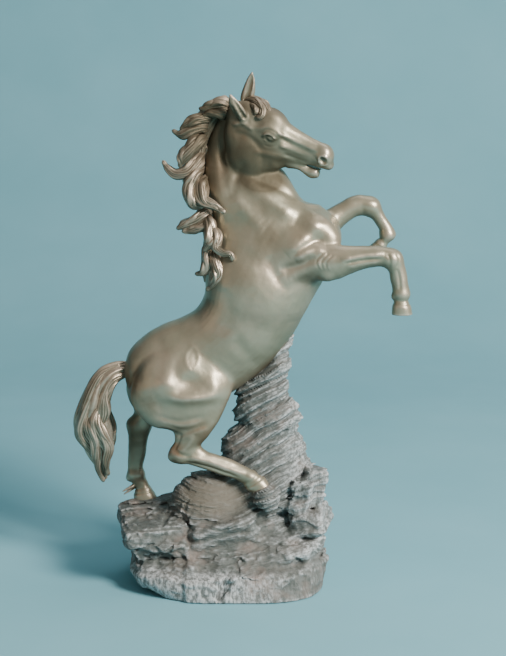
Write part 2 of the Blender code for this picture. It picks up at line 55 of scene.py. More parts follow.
def smooth_rows(rows, step, measured=None):
    """Rows of a table read along a smooth curve, about one for each step of length.

    The length is that of the first measured columns, or of them all.
    """
    rows = np.asarray(rows, float)
    gap = np.linalg.norm(np.diff(rows[:, :measured], axis=0), axis=1) + 1e-6
    at = np.concatenate([[0], np.cumsum(gap)])
    slope = np.gradient(rows, at, axis=0)
    count = max(int(at[-1] / step), len(rows) * 2)
    t = np.linspace(0, at[-1], count)
    i = np.clip(np.searchsorted(at, t, side="right") - 1, 0, len(rows) - 2)
    h = (at[i + 1] - at[i])[:, None]
    u = ((t - at[i]) / h[:, 0])[:, None]
    return (
        (2 * u**3 - 3 * u**2 + 1) * rows[i]
        + (u**3 - 2 * u**2 + u) * h * slope[i]
        + (3 * u**2 - 2 * u**3) * rows[i + 1]
        + (u**3 - u**2) * h * slope[i + 1]
    )


def noise(points, scale, seed):
    """Smooth value noise from -1 to 1 whose lumps are about scale millimetres across."""
    size = 32
    table = np.random.default_rng(seed).random((size, size, size)).astype(np.float32)
    p = np.asarray(points, float) / scale + 97.3
    cell = np.floor(p).astype(int)
    f = p - cell
    f = f * f * (3 - 2 * f)
    sides = (cell % size, (cell + 1) % size)
    total = 0
    for i, j, k in np.ndindex(2, 2, 2):
        weight = np.abs(1 - i - f[:, 0]) * np.abs(1 - j - f[:, 1]) * np.abs(1 - k - f[:, 2])
        total = total + weight * table[sides[i][:, 0], sides[j][:, 1], sides[k][:, 2]]
    return 2 * total - 1


def fractal(points, scale, seed, octaves=3):
    return sum(noise(points, scale / 2**i, seed + i) / 2**i for i in range(octaves))


def distance_to_line(points, line):
    """Distance from points to a polyline, and how far along it the nearest place is, from 0 to 1."""
    best = np.full(len(points), 1e9)
    where = np.zeros(len(points))
    for k, (a, b) in enumerate(zip(line[:-1], line[1:])):
        run = b - a
        t = np.clip(((points - a) @ run) / (run @ run + 1e-9), 0, 1)
        away = np.linalg.norm(points - a - t[:, None] * run, axis=1)
        closer = away < best
        best[closer] = away[closer]
        where[closer] = (k + t[closer]) / (len(line) - 1)
    return best, where


def turned(centre, turn, axes):
    """Grid axes measured from a centre and turned by Euler angles in degrees."""
    spin = np.array(Euler([math.radians(a) for a in turn]).to_matrix()).T
    x, y, z = (axis - middle for axis, middle in zip(axes, centre))
    return [row[0] * x + row[1] * y + row[2] * z for row in spin]


# ---------------------------------------------------------------------------
# Distance fields, in millimetres
# ---------------------------------------------------------------------------


class Field:
    """A signed distance on a dense grid: negative inside, with blended unions and cuts."""

    def __init__(self, low, high, voxel, reach):
        self.voxel, self.reach = voxel, reach
        self.margin = 0.8 * reach
        self.first = np.floor(np.array(low) / voxel).astype(int)
        shape = np.ceil(np.array(high) / voxel).astype(int) - self.first + 1
        self.values = np.full(shape, reach, np.float32)
        self.transform = vdb.createLinearTransform(voxelSize=voxel)

    def window(self, low, high):
        """The part of the grid between two corners, and its points."""
        start = np.floor(np.array(low) / self.voxel).astype(int) - self.first
        stop = np.ceil(np.array(high) / self.voxel).astype(int) - self.first + 1
        start, stop = np.clip(start, 0, None), np.minimum(stop, self.values.shape)
        part = tuple(slice(a, b) for a, b in zip(start, stop))
        axes = [(np.arange(a, b) + f) * self.voxel for a, b, f in zip(start, stop, self.first)]
        return part, np.meshgrid(*axes, indexing="ij", sparse=True)

    def merge(self, part, other, blend, remove=False):
        """Adds a form with a rounded valley where it meets the rest, or cuts it with a rounded rim."""
        sign = -1 if remove else 1
        mine = sign * self.values[part]
        meet = np.clip(blend - np.abs(mine - other), 0, None) / max(blend, 1e-6)
        self.values[part] = sign * (np.minimum(mine, other) - meet * meet * blend / 4)

    def add_mesh(self, points, triangles, blend):
        grid = vdb.FloatGrid.createLevelSetFromPolygons(
            np.ascontiguousarray(points, np.float32),
            triangles=np.ascontiguousarray(triangles, np.int32),
            transform=self.transform,
            halfWidth=self.reach / self.voxel,
        )
        low, high = (np.array(corner) for corner in grid.evalActiveVoxelBoundingBox())
        low = np.maximum(low, self.first)
        high = np.minimum(high, self.first + np.array(self.values.shape) - 1)
        block = np.empty(high - low + 1, np.float32)
        grid.copyToArray(block, ijk=tuple(int(i) for i in low))
        part = tuple(slice(a, b + 1) for a, b in zip(low - self.first, high - self.first))
        self.merge(part, block, blend)

    def add_ball(self, centre, radii, blend, turn=(0, 0, 0), remove=False):
        """An ellipsoid, turned by Euler angles in degrees."""
        centre, radii = np.array(centre, float), np.array(radii, float)
        margin = radii.max() + self.margin
        part, axes = self.window(centre - margin, centre + margin)
        local = turned(centre, turn, axes)
        near = np.sqrt(sum((c / r) ** 2 for c, r in zip(local, radii)))
        steep = np.sqrt(sum((c / r**2) ** 2 for c, r in zip(local, radii))) + 1e-9
        self.merge(part, near * (near - 1) / steep, blend, remove)

    def add_rod(self, start, end, radius_start, radius_end, blend, remove=False):
        """A round bar that tapers between two points."""
        a, b = np.array(start, float), np.array(end, float)
        margin = max(radius_start, radius_end) + self.margin
        part, axes = self.window(np.minimum(a, b) - margin, np.maximum(a, b) + margin)
        run = b - a
        t = sum((axis - at) * way for axis, at, way in zip(axes, a, run)) / (run @ run)
        t = np.clip(t, 0, 1)
        away = np.sqrt(sum((axis - at - t * way) ** 2 for axis, at, way in zip(axes, a, run)))
        self.merge(part, away - radius_start - t * (radius_end - radius_start), blend, remove)

    def add_block(self, centre, half, rounding, blend, turn):
        """A box with rounded edges, turned by Euler angles in degrees."""
        centre, half = np.array(centre, float), np.array(half, float)
        margin = np.linalg.norm(half) + self.margin
        part, axes = self.window(centre - margin, centre + margin)
        past = [np.abs(c) - h + rounding for c, h in zip(turned(centre, turn, axes), half)]
        outside = np.sqrt(sum(np.maximum(c, 0) ** 2 for c in past))
        inside = np.minimum(np.maximum(np.maximum(past[0], past[1]), past[2]), 0)
        self.merge(part, outside + inside - rounding, blend)

    def crack(self, line, width, depth, side):
        """A groove of limited depth along (x, z) points, on the surfaces at one side of the middle."""
        line = np.array(line, float)
        far = 200 * side
        low = (line[:, 0].min() - width, min(far, 0), line[:, 1].min() - width)
        high = (line[:, 0].max() + width, max(far, 0), line[:, 1].max() + width)
        part, (x, _, z) = self.window(low, high)
        flat = np.stack([np.broadcast_to(c, (x.shape[0], 1, z.shape[2])).ravel() for c in (x, z)], 1)
        spots = np.insert(flat, 1, 0, axis=1)
        flat = flat + 1.6 * np.stack([noise(spots, 6, 81), noise(spots, 6, 82)], 1)
        away, where = distance_to_line(flat, line)
        reach = width * (0.45 + 0.55 * np.sin(np.pi * where)) - away
        reach = reach.reshape(x.shape[0], 1, z.shape[2])
        mine = self.values[part]
        self.values[part] = np.maximum(mine, np.minimum(mine + depth, 1.6 * reach))

    def surface(self):
        """Points and quads of the zero surface, in millimetres, facing out."""
        grid = vdb.FloatGrid(self.reach)
        values = np.clip(self.values, -self.reach, self.reach)
        grid.copyFromArray(values, ijk=tuple(int(i) for i in self.first))
        grid.transform = self.transform
        points, quads = grid.convertToQuads(0.0)
        quads = np.asarray(quads, np.int64)
        corners = points[quads]
        middle = corners.mean(axis=1)
        area = np.cross(corners[:, 2] - corners[:, 0], corners[:, 3] - corners[:, 1])
        if (middle * area).sum() < 0:
            quads = quads[:, ::-1]
        return np.asarray(points, float), quads


# ---------------------------------------------------------------------------
# Lofts through sections
# ---------------------------------------------------------------------------

LOFT_SIDES = 48


def section_rings(rows, step=1.5, fullness=1.0):
    """Rings round sections given as upper edge (x, z), lower edge (x, z), middle y and half width."""
    rows = smooth_rows(rows, step, measured=5)
    upper = np.stack([rows[:, 0], np.zeros(len(rows)), rows[:, 1]], 1)
    lower = np.stack([rows[:, 2], np.zeros(len(rows)), rows[:, 3]], 1)
    middle = (upper + lower) / 2
    middle[:, 1] = rows[:, 4]
    turn = np.linspace(0, 2 * np.pi, LOFT_SIDES, endpoint=False)
    along = np.sign(np.cos(turn)) * np.abs(np.cos(turn)) ** fullness
    side = np.sign(np.sin(turn)) * np.abs(np.sin(turn)) ** fullness
    rings = middle[:, None] + (upper - lower)[:, None] / 2 * along[None, :, None]
    rings[:, :, 1] += rows[:, 5][:, None] * side[None]
    return rings


def tube(rings):
    """Closed triangle mesh through rings, with a fan at each end."""
    count, sides = rings.shape[:2]
    points = np.concatenate([rings.reshape(-1, 3), rings[[0, -1]].mean(axis=1)])
    first = np.arange(count - 1)[:, None] * sides
    j = np.arange(sides)
    beside = (j + 1) % sides
    a, b = first + j, first + beside
    wall = np.stack([a, b, b + sides, a, b + sides, a + sides], -1).reshape(-1, 3)
    last = (count - 1) * sides
    start_fan = np.stack([beside, j, np.full(sides, count * sides)], 1)
    end_fan = np.stack([last + j, last + beside, np.full(sides, count * sides + 1)], 1)
    faces = np.concatenate([wall, start_fan, end_fan])
    corners = points[faces]
    volume = np.einsum("ij,ij->i", corners[:, 0], np.cross(corners[:, 1], corners[:, 2])).sum()
    return points, faces if volume > 0 else faces[:, ::-1]


# ---------------------------------------------------------------------------
# Meshes and brushes
# ---------------------------------------------------------------------------


def face_array_edges(faces):
    """Each edge of a quad or triangle array, once in each direction."""
    return np.concatenate([faces[:, [i, (i + 1) % faces.shape[1]]] for i in range(faces.shape[1])])


def normals_of(points, faces):
    corners = points[faces]
    if faces.shape[1] == 4:
        flat = np.cross(corners[:, 2] - corners[:, 0], corners[:, 3] - corners[:, 1])
    else:
        flat = np.cross(corners[:, 1] - corners[:, 0], corners[:, 2] - corners[:, 0])
    total = np.zeros_like(points)
    for i in range(faces.shape[1]):
        for axis in range(3):
            total[:, axis] += np.bincount(faces[:, i], flat[:, axis], len(points))
    return total / (np.linalg.norm(total, axis=1, keepdims=True) + 1e-12)


def neighbour_mean(values, edges, count):
    both = np.concatenate([edges, edges[:, ::-1]])
    many = np.bincount(both[:, 0], minlength=count)[:, None] + 1e-9
    total = np.stack([np.bincount(both[:, 0], column[both[:, 1]], count) for column in values.T], 1)
    return total / many


def relax(points, faces, rounds, amount=0.5):
    edges = face_array_edges(faces)
    for _ in range(rounds):
        points = points + amount * (neighbour_mean(points, edges, len(points)) - points)
    return points


class Clay:
    """A dense mesh whose points are pushed along their normals by brushes."""

    def __init__(self, points, faces):
        self.points, self.faces = points, faces
        self.refresh()

    def refresh(self):
        self.normals = normals_of(self.points, self.faces)

    def stroke(self, line, radius, height, side=0.0, taper=True):
        """A ridge, or with a negative height a groove, along a line through (x, z) or (x, y, z) points."""
        line = smooth_rows(line, radius)
        seen = self.points[:, [0, 2]] if line.shape[1] == 2 else self.points
        near = ((seen > line.min(0) - 3 * radius) & (seen < line.max(0) + 3 * radius)).all(1)
        if side:
            near &= self.points[:, 1] * side > 0
        index = np.nonzero(near)[0]
        away, where = distance_to_line(seen[index], line)
        push = height * np.exp(-((away / radius) ** 2))
        if taper:
            push *= np.clip(4 * where * (1 - where) * 1.6, 0, 1)
        if side:
            push *= np.clip(self.normals[index, 1] * side * 1.6, 0, 1)
        self.points[index] += self.normals[index] * push[:, None]

    def bump(self, centre, radii, height, side=0.0, turn=0.0):
        """A soft swelling with an oval outline in the XZ plane."""
        a = math.radians(turn)
        dx, dz = self.points[:, 0] - centre[0], self.points[:, 2] - centre[1]
        u = (dx * math.cos(a) + dz * math.sin(a)) / radii[0]
        v = (dz * math.cos(a) - dx * math.sin(a)) / radii[1]
        push = height * np.exp(-(u * u + v * v))
        if side:
            push *= np.clip(self.normals[:, 1] * side * 1.6, 0, 1) * (self.points[:, 1] * side > 0)
        self.points += self.normals * push[:, None]


def mesh_object(name, points, faces, attributes=None, normals=None):
    """A Blender object from point and face arrays in millimetres; faces is one array or a list of them."""
    groups = [np.asarray(group) for group in (faces if isinstance(faces, list) else [faces])]
    sizes = np.concatenate([np.full(len(group), group.shape[1]) for group in groups])
    corners = np.concatenate([group.ravel() for group in groups]).astype(np.int32)
    mesh = bpy.data.meshes.new(name)
    mesh.vertices.add(len(points))
    mesh.vertices.foreach_set("co", (np.asarray(points) * MM).astype(np.float32).ravel())
    mesh.loops.add(len(corners))
    mesh.loops.foreach_set("vertex_index", corners)
    mesh.polygons.add(len(sizes))
    mesh.polygons.foreach_set("loop_start", (np.cumsum(sizes) - sizes).astype(np.int32))
    mesh.update(calc_edges=True)
    mesh.validate()
    mesh.shade_smooth()
    for key, values in (attributes or {}).items():
        layer = mesh.attributes.new(key, "FLOAT", "POINT")
        layer.data.foreach_set("value", np.asarray(values, np.float32))
    if normals is not None:
        mesh.normals_split_custom_set_from_vertices(np.asarray(normals, np.float32))
    piece = bpy.data.objects.new(name, mesh)
    bpy.context.scene.collection.objects.link(piece)
    return piece


def loops_of(edges):
    """A loop number for each border edge; edges that share a point are in one loop."""
    root = {}

    def find(item):
        while root.setdefault(item, item) != item:
            item = root[item]
        return item

    for a, b in edges:
        root[find(a)] = find(b)
    return np.array([find(a) for a, _ in edges])


def cut_out(points, faces, chosen, attributes, normals):
    """Some faces of a skin as their own closed mesh: each opening gets a fan to a point inside it."""
    count = len(points)
    edges = face_array_edges(faces[chosen])
    code = edges[:, 0] * count + edges[:, 1]
    border = edges[~np.isin(code, edges[:, 1] * count + edges[:, 0])]
    loop = loops_of(border.tolist())
    used = np.unique(faces[chosen])
    place = np.full(count, -1)
    place[used] = np.arange(len(used))
    centres, fans = [], []
    for k, number in enumerate(np.unique(loop)):
        rim = border[loop == number]
        centres.append(points[rim[:, 0]].mean(axis=0))
        tip = np.full(len(rim), len(used) + k)
        fans.append(np.column_stack([place[rim[:, 1]], place[rim[:, 0]], tip]))
    extra = len(centres)
    values = {key: np.append(value[used], np.zeros(extra)) for key, value in attributes.items()}
    upward = np.tile((0.0, 0.0, 1.0), (extra, 1))
    return (
        np.concatenate([points[used], centres]),
        [place[faces[chosen]], np.concatenate(fans)],
        values,
        np.concatenate([normals[used], upward]),
    )


def relief(points, faces, rounds=(2, 10)):
    """How far each point stands out of (positive) or lies in (negative) its surroundings, in mm."""
    edges = face_array_edges(faces)
    normals = normals_of(points, faces)
    total = 0
    smooth = points
    for done in range(1, max(rounds) + 1):
        smooth = neighbour_mean(smooth, edges, len(points))
        if done in rounds:
            total = total + ((points - smooth) * normals).sum(1)
    for _ in range(2):
        total = neighbour_mean(total[:, None], edges, len(points))[:, 0]
    return total


def finish_piece(piece, replaced, material):
    piece.data.materials.append(material)
    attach(piece, "root")
    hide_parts(*replaced)


# ---------------------------------------------------------------------------
# The horse's body
# ---------------------------------------------------------------------------

# Sections: upper or rear edge (x, z), lower or front edge (x, z), middle y, half width.
TRUNK = (
    (-87, 163, -84, 146, 0, 7),
    (-83, 175, -78, 134, 0, 15),
    (-74, 185, -66, 127, 0, 21),
    (-60, 194, -48, 126, 0, 24),
    (-45, 200, -24, 134, 0, 25),
    (-33, 207, 0, 148, 0, 25.5),
    (-27, 217, 20, 164, 0, 27),
    (-26, 229, 39, 188, 0, 28),
    (-24, 241, 52, 212, 0, 28),
    (-20, 254, 64, 233, 0, 27),
    (-15, 266, 73, 249, 0, 25),
    (-4, 277, 74, 264, 0, 22),
    (12, 285, 68, 276, 0, 17),
    (30, 288, 58, 284, 0, 9),
)
NECK = (
    (-19, 262, 50, 268, 0, 17),
    (-21, 281, 45, 287, 0, 18),
    (-25, 295, 40, 296, 0, 15),
    (-26, 310, 33, 307, 3, 12),
    (-24, 325, 22, 319, 4, 10),
    (-20, 339, 13, 331, 4, 9.5),
    (-13, 350, 8, 341, 2, 8),
    (-5, 356, 4, 350, 0, 5),
)
SKULL = (
    (-8, 354, -10, 332, 0, 6),
    (-4, 359.5, -7, 315, 0, 9.5),
    (4, 360.5, 0, 305.5, 0, 11.5),
    (13, 359, 8, 302.5, 0, 12),
    (21, 355.5, 16, 303.5, 0, 11.8),
    (28, 351, 25, 308, 0, 10.8),
    (34, 346, 31, 311, 0, 9),
    (43, 339.5, 38, 311.5, 0, 7),
    (51, 334.3, 46, 311.5, 0, 5.8),
    (58, 330.6, 54, 311.5, 0, 5.6),
    (64, 327, 61, 311, 0, 6.4),
    (67.5, 321, 65.5, 311.5, 0, 4.6),
)
CHIN = (
    (34, 318, 34, 311, 0, 5),
    (43, 315, 43, 309.4, 0, 5.2),
    (49, 313, 49.5, 304.4, 0, 5.4),
    (55.5, 311.4, 56.5, 303.8, 0, 4.6),
)
LEFT_EAR = (
    (0.5, 354, 8.5, 353, 6, 2.6),
    (-0.5, 361, 10, 361.5, 7, 3.4),
    (2, 368, 11, 368.5, 7.6, 3),
    (5.2, 374.5, 10.8, 375, 8, 1.9),
    (8.4, 379.4, 9.8, 379.6, 8, 0.7),
)
RIGHT_EAR = (
    (8.2, 348, 4.2, 345.2, -8, 2.4),
    (8.0, 353.2, 0.8, 350.4, -9.8, 2.9),
    (5.4, 359.2, -3.0, 356, -11, 2.8),
    (0.8, 365, -4.8, 362.6, -11.6, 1.9),
    (-2.8, 368.6, -4.0, 368.1, -12, 0.6),
)
RIGHT_FORELEG = (
    (46, 258, 52, 234, -15, 9),
    (60, 257.5, 60, 232.5, -19, 10.5),
    (70, 257, 71, 232, -21, 9.8),
    (81, 256.5, 80, 236, -22, 8.4),
    (92, 256.5, 90, 239.5, -22, 7.4),
    (103, 256, 102, 241.5, -22, 7),
    (112, 253.5, 106, 240, -22, 7),
    (117.5, 246.5, 108, 236.5, -22, 6),
    (120.2, 238.5, 108.6, 232, -22, 5.6),
    (122, 229, 109.8, 227.5, -22, 5.8),
    (123, 221.5, 111, 221, -22, 5.8),
    (121.5, 216, 112.5, 216.5, -22, 4.8),
)
LEFT_FORELEG = (
    (52, 272, 56, 254, 15, 8),
    (64, 278.5, 70, 260, 18, 8.8),
    (74, 284, 80, 269, 20, 8),
    (82, 288.5, 86, 273, 20, 7.2),
    (89, 290, 90, 274, 20, 6.8),
    (98, 287.5, 94, 273.5, 20, 6.6),
    (104, 281.5, 98, 271.5, 20, 5.6),
    (108.5, 273.5, 101.5, 267, 20, 4.8),
    (114.5, 264, 104, 262, 20, 5.2),
    (115, 258, 104.5, 257.5, 20, 5.6),
    (110.5, 253, 103.5, 256, 20, 4.8),
)
RIGHT_HIND_LEG = (
    (-52, 180, -26, 180, -14, 7),
    (-68, 168, -14, 168, -16.5, 11),
    (-78, 156, -8, 158, -18, 12.5),
    (-81, 144, -6.5, 149, -18.5, 13),
    (-76, 132, -10, 139, -19, 12.5),
    (-66, 123, -14, 130, -20, 11),
    (-50, 118.5, -18, 123, -21, 9),
    (-48.5, 112, -24, 115, -22, 7.2),
    (-51.5, 104.5, -29, 108, -22, 6.4),
    (-50, 96.5, -25, 104, -22, 6),
    (-38, 93.8, -17, 101, -22, 5),
    (-26, 90, -7, 97.5, -22, 4.6),
    (-14, 85.5, 2, 93, -22, 4.8),
    (-4, 82.5, 9, 89.5, -22, 5.4),
    (2, 79, 13, 87, -22, 5),
)
LEFT_HIND_LEG = (
    (-56, 176, -30, 172, 14, 7),
    (-72, 166, -26, 160, 17, 11),
    (-84, 154, -34, 150, 18, 12),
    (-87, 144, -46, 141, 18.5, 12),
    (-85, 133, -57, 131, 19, 10.5),
    (-81.5, 125, -63, 121, 20, 8),
    (-86, 114.5, -69, 109, 20, 6.4),
    (-86, 104, -71.5, 101, 20, 5.6),
    (-86.5, 91, -73, 90, 20, 5),
    (-87, 80, -75, 80, 20, 5),
    (-86.5, 73, -74, 74.5, 20, 5.6),
    (-82.5, 66, -71.5, 68.5, 20, 4.8),
    (-80.5, 62.5, -70, 64.5, 20, 4.8),
)
# Hooves: coronet, wall and sole.
HOOVES = {
    "right_foreleg": ((121.5, 217, 112, 217, -22, 4.8), (123.5, 213.6, 110.8, 214, -22, 6.2),
                      (125.5, 206, 110, 206, -22, 7)),
    "left_foreleg": ((110.5, 253.5, 103, 257, 20, 4.8), (108.5, 247.5, 99.5, 254, 20, 6),
                     (105.5, 239.5, 93, 248, 20, 6.8)),
    "right_hind_leg": ((2, 79, 13, 87, -22, 5), (3.5, 75.5, 17, 84.5, -22, 6.6), (10, 71, 22, 79, -22, 7)),
    "left_hind_leg": ((-81, 63.5, -70, 65.5, 20, 4.9), (-82.5, 59.5, -67.5, 62, 20, 6.4),
                      (-81.5, 50, -62, 51.5, 20, 7.4)),
}

HORSE_SPACE = ((-96, -40, 44), (134, 40, 386))  # corners of its grid
HORSE_VOXEL, HORSE_REACH = 0.62, 7.2
HEAD_PIVOT = np.array([-2.0, 0.0, 338.0])
HEAD_YAW, HEAD_ROLL = -12.0, 13.0  # the muzzle comes towards the camera and the crown leans to it
HEAD_SHIFT = np.array([0.0, -2.5, 0.0])


def head_pose(points):
    """Turns the head, drawn straight ahead, about the poll."""
    spin = np.array(Euler((math.radians(HEAD_ROLL), 0, math.radians(HEAD_YAW))).to_matrix())
    return (np.atleast_2d(points) - HEAD_PIVOT) @ spin.T + HEAD_PIVOT + HEAD_SHIFT


def add_loft(field, rows, blend, fullness=1.0, pose=None):
    points, faces = tube(section_rings(rows, fullness=fullness))
    field.add_mesh(pose(points) if pose else points, faces, blend)


def head_ball(field, centre, radii, blend, pitch=0.0, remove=False):
    """A ball on each side of the head, or one on its middle plane. Pitch tips its long axis nose-down."""
    x, y, z = centre
    turn = (HEAD_ROLL, pitch, HEAD_YAW)
    for side in ((RIGHT, LEFT) if y else (LEFT,)):
        field.add_ball(head_pose((x, y * side, z))[0], radii, blend, turn, remove)


def build_head(field):
    add_loft(field, SKULL, 1.4, 0.90, head_pose)
    head_ball(field, (5.5, 7.0, 320.5), (15.5, 8.2, 17.0), 2.4)  # round cheek
    head_ball(field, (-3.0, 6.4, 332), (6.5, 6.0, 13), 2.4, -14)  # back of the jaw
    head_ball(field, (23.0, 8.6, 341.6), (8.0, 3.0, 3.4), 5.0, 28)  # brow
    head_ball(field, (26.5, 3.2, 347.4), (7.0, 4.4, 4.4), 6.0, 34)  # forehead
    head_ball(field, (61.0, 0, 319.0), (7.2, 7.6, 9.2), 3.0, 20)  # muzzle
    head_ball(field, (64.0, 0, 313.4), (4.2, 6.0, 3.4), 1.6)  # upper lip
    add_loft(field, CHIN, 1.8, 1.0, head_pose)
    head_ball(field, (53.0, 0, 307.4), (5.0, 5.4, 4.0), 1.6)  # lower lip
    head_ball(field, (15.5, 11.4, 349.0), (4.4, 2.0, 3.4), 2.4, 30, remove=True)  # hollow above the eye
    head_ball(field, (24.4, 13.8, 336.0), (4.0, 2.0, 2.2), 2.4, 26, remove=True)  # socket
    head_ball(field, (24.2, 9.9, 335.9), (3.6, 2.7, 2.1), 0.7, 26)  # eyeball
    head_ball(field, (56.5, 0, 311.8), (9.0, 9.5, 1.0), 0.5, 14, remove=True)  # open mouth
    head_ball(field, (61.8, 8.6, 318.3), (3.8, 2.9, 2.6), 0.7, 48, remove=True)  # nostril
    head_ball(field, (37, 9.8, 315.0), (10, 3.2, 3.4), 3.0, 8, remove=True)  # hollow under the crest
    build_ears(field)


def build_ears(field):
    add_loft(field, LEFT_EAR, 1.6, 1.0, head_pose)
    add_loft(field, RIGHT_EAR, 1.4, 1.0, head_pose)
    right = head_pose(((6.4, -11.6, 351), (4.6, -13.4, 355), (2.4, -14.2, 359.5), (-0.4, -14.0, 364.5)))
    left = head_pose(((5, 3.4, 357), (7.2, 4.4, 367), (9.2, 6.4, 376)))
    for line, wide, narrow in ((right, 1.5, 0.9), (left, 1.9, 0.7)):
        for start, end in zip(line[:-1], line[1:]):
            field.add_rod(start, end, wide, (wide + narrow) / 2, 0.6, remove=True)


def build_hooves(field):
    for rows in HOOVES.values():
        points, faces = tube(section_rings(rows, step=1.0, fullness=0.9))
        field.add_mesh(points, faces, 0.5)


def build_joints(field):
    """Knees, hocks, fetlocks and the point of each elbow."""
    balls = (
        ((110.5, -22, 247), (7.4, 7.2, 7.0), 3.0),  # right knee
        ((117, -22, 221), (6.2, 6.0, 4.6), 2.4),  # right fore fetlock
        ((112.5, -22, 219.5), (3, 3.6, 3), 1.6),
        ((63, -22, 236), (6.4, 6.4, 5.4), 3.0),  # right elbow
        ((65, -15, 261), (8, 7, 7), 5.0),  # where the arm meets the breast
        ((97, 20, 281.5), (7.2, 6.8, 6.8), 3.0),  # left knee
        ((110, 20, 260), (6.0, 5.8, 4.6), 2.4),  # left fore fetlock
        ((-45, -22, 101.5), (8.0, 6.6, 6.4), 3.0),  # right hock
        ((-50, -22, 99.5), (3.6, 3.8, 3.8), 2.0),
        ((7, -22, 84.5), (5.6, 6.0, 5.0), 2.0),  # right hind fetlock
        ((-78.5, 20, 113), (8.4, 6.8, 7.4), 3.0),  # left hock
        ((-84, 20, 114.5), (3.2, 3.8, 4), 2.0),
        ((-80.5, 20, 75), (6.8, 6.2, 4.8), 2.4),  # left hind fetlock
        ((-85.5, 20, 72), (3, 3.6, 3), 1.6),
    )
    for centre, radii, blend in balls:
        field.add_ball(centre, radii, blend)


def build_muscles(field):
    """Large soft masses; smaller ones are brushed on afterwards."""
    for side in (RIGHT, LEFT):
        field.add_ball((45, 17 * side, 250), (25, 11, 17), 5.0, (0, 30, 0))  # shoulder
        field.add_ball((56, 14 * side, 268), (15, 9, 10), 5.0, (0, 25, 0))  # breast
        field.add_ball((10, 17 * side, 222), (30, 12.5, 22), 5.0, (0, 50, 0))  # rib cage
    field.add_ball((-44, -20, 152), (31, 11.5, 26), 5.0, (0, 20, 0))  # right thigh
    field.add_ball((-58, 20, 150), (26, 11, 24), 5.0, (0, 0, 0))  # left thigh


def build_ergots(field):
    """Two thin tufts behind the left hind fetlock."""
    field.add_rod((-83, 17, 66), (-91, 14, 62.6), 1.5, 0.6, 1.0)
    field.add_rod((-83, 19, 64), (-90, 17, 59.6), 1.4, 0.6, 1.0)


def horse_field():
    field = Field(*HORSE_SPACE, HORSE_VOXEL, HORSE_REACH)
    add_loft(field, TRUNK, 1.0, 0.94)
    build_muscles(field)
    add_loft(field, NECK, 6.0, 0.82)
    for rows in (RIGHT_FORELEG, LEFT_FORELEG, RIGHT_HIND_LEG, LEFT_HIND_LEG):
        add_loft(field, rows, 5.0, 0.95)
    build_joints(field)
    build_hooves(field)
    build_ergots(field)
    build_head(field)
    return field


def both(clay, line, radius, height, **more):
    for side in (RIGHT, LEFT):
        clay.stroke(line, radius, height, side=side, **more)


# Muscles and grooves on both sides of the body: (x, z) points, radius and height.
BODY_STROKES = (
    # Neck: the long muscle from behind the cheek to the shoulder, and the groove under it.
    (((0, 306), (18, 292), (42, 276)), 6.0, 1.6),
    (((8, 305), (28, 297), (42, 288)), 2.4, -0.8),
    (((-8, 292), (4, 280), (18, 268)), 5.0, 1.1),
    (((-14, 318), (-10, 296), (-2, 276)), 4.0, -0.8),
    (((4, 318), (-2, 306), (-6, 290)), 3.0, -0.7),
    # Shoulder and upper arm.
    (((34, 250), (46, 262), (58, 276)), 5.6, 1.4),
    (((40, 246), (50, 253), (62, 255)), 4.0, 1.1),
    (((36, 249), (48, 257.5), (60, 262)), 2.6, -0.8),
    (((24, 262), (36, 272), (50, 282)), 5.0, -0.35),
    (((28, 240), (42, 243), (54, 250)), 2.8, -1.2),
    (((34, 233), (48, 238), (60, 246)), 4.0, 1.2),
    (((20, 250), (26, 236), (36, 222)), 4.0, -0.8),
    # Ribs and flank.
    (((30, 236), (38, 216), (40, 200)), 6.0, 1.2),
    (((-12, 226), (-8, 206), (-14, 190)), 5.0, -0.7),
    (((-6, 190), (6, 176), (12, 166)), 5.0, -0.8),
)


def sculpt_body(clay):
    """Muscles, the folds at the right elbow, the haunches and the legs."""
    for line, radius, height in BODY_STROKES:
        both(clay, line, radius, height)
    for k in range(3):
        x = 55 + 3.1 * k
        furrow = ((x + 6, 253 - k), (x + 0.6 * k, 246), (x + 2.4 - k, 239 + k))
        band = ((x + 7.4, 252 - k), (x + 1.5, 245.6), (x + 3.8, 238.6))
        clay.stroke(furrow, 1.1, -0.38, side=RIGHT)
        clay.stroke(band, 1.1, 0.25, side=RIGHT)
    sculpt_haunch(clay)
    sculpt_legs(clay)


def sculpt_haunch(clay):
    """The crescent of muscle on each thigh, the hip and the soft bands below them."""
    swellings = (
        ((-17.5, 153.5), (8.5, 8.5), 2.2, -20),
        ((-54, 156), (8, 8), 2.6, 20),
        ((-37, 146.5), (18, 4.4), 2.3, 0),
        ((-66, 152), (9, 12), 1.0, 0),
        ((-37, 158.5), (8.5, 5.8), -2.2, 0),
        ((-26, 165), (6, 9), -0.5, 20),
        ((-47, 166), (5, 9), -1.0, -15),
        ((-59, 140), (5, 8), -0.7, 30),
        ((-14, 160), (5, 8), -0.8, 20),
    )
    for centre, radii, height, turn in swellings:
        for side in (RIGHT, LEFT):
            clay.bump(centre, radii, height, side=side, turn=turn)
    oval = ((-36, 166), (-39.4, 171), (-38.6, 179), (-34.6, 182.4), (-31, 178), (-31, 171), (-34, 166))
    both(clay, oval, 1.5, 0.2, taper=False)
    both(clay, ((-55, 151), (-46, 145), (-30, 144.6), (-14, 149)), 4.0, 0.7)
    for drop, left, right in ((0, -64, -26), (6.4, -56, -22), (10.4, -60, -34)):
        furrow = ((left, 133 - drop), (-45, 128.5 - drop), (right, 132 - drop))
        band = ((left + 2, 130 - drop), (-44, 125.6 - drop), (right, 129 - drop))
        clay.stroke(furrow, 2.2, -0.5, side=RIGHT)
        clay.stroke(band, 2.4, 0.35, side=RIGHT)
    both(clay, ((-76, 166), (-72, 152), (-70, 136)), 5.0, -0.4)
    both(clay, ((-60, 190), (-57, 176), (-62, 160)), 5.0, -0.7)


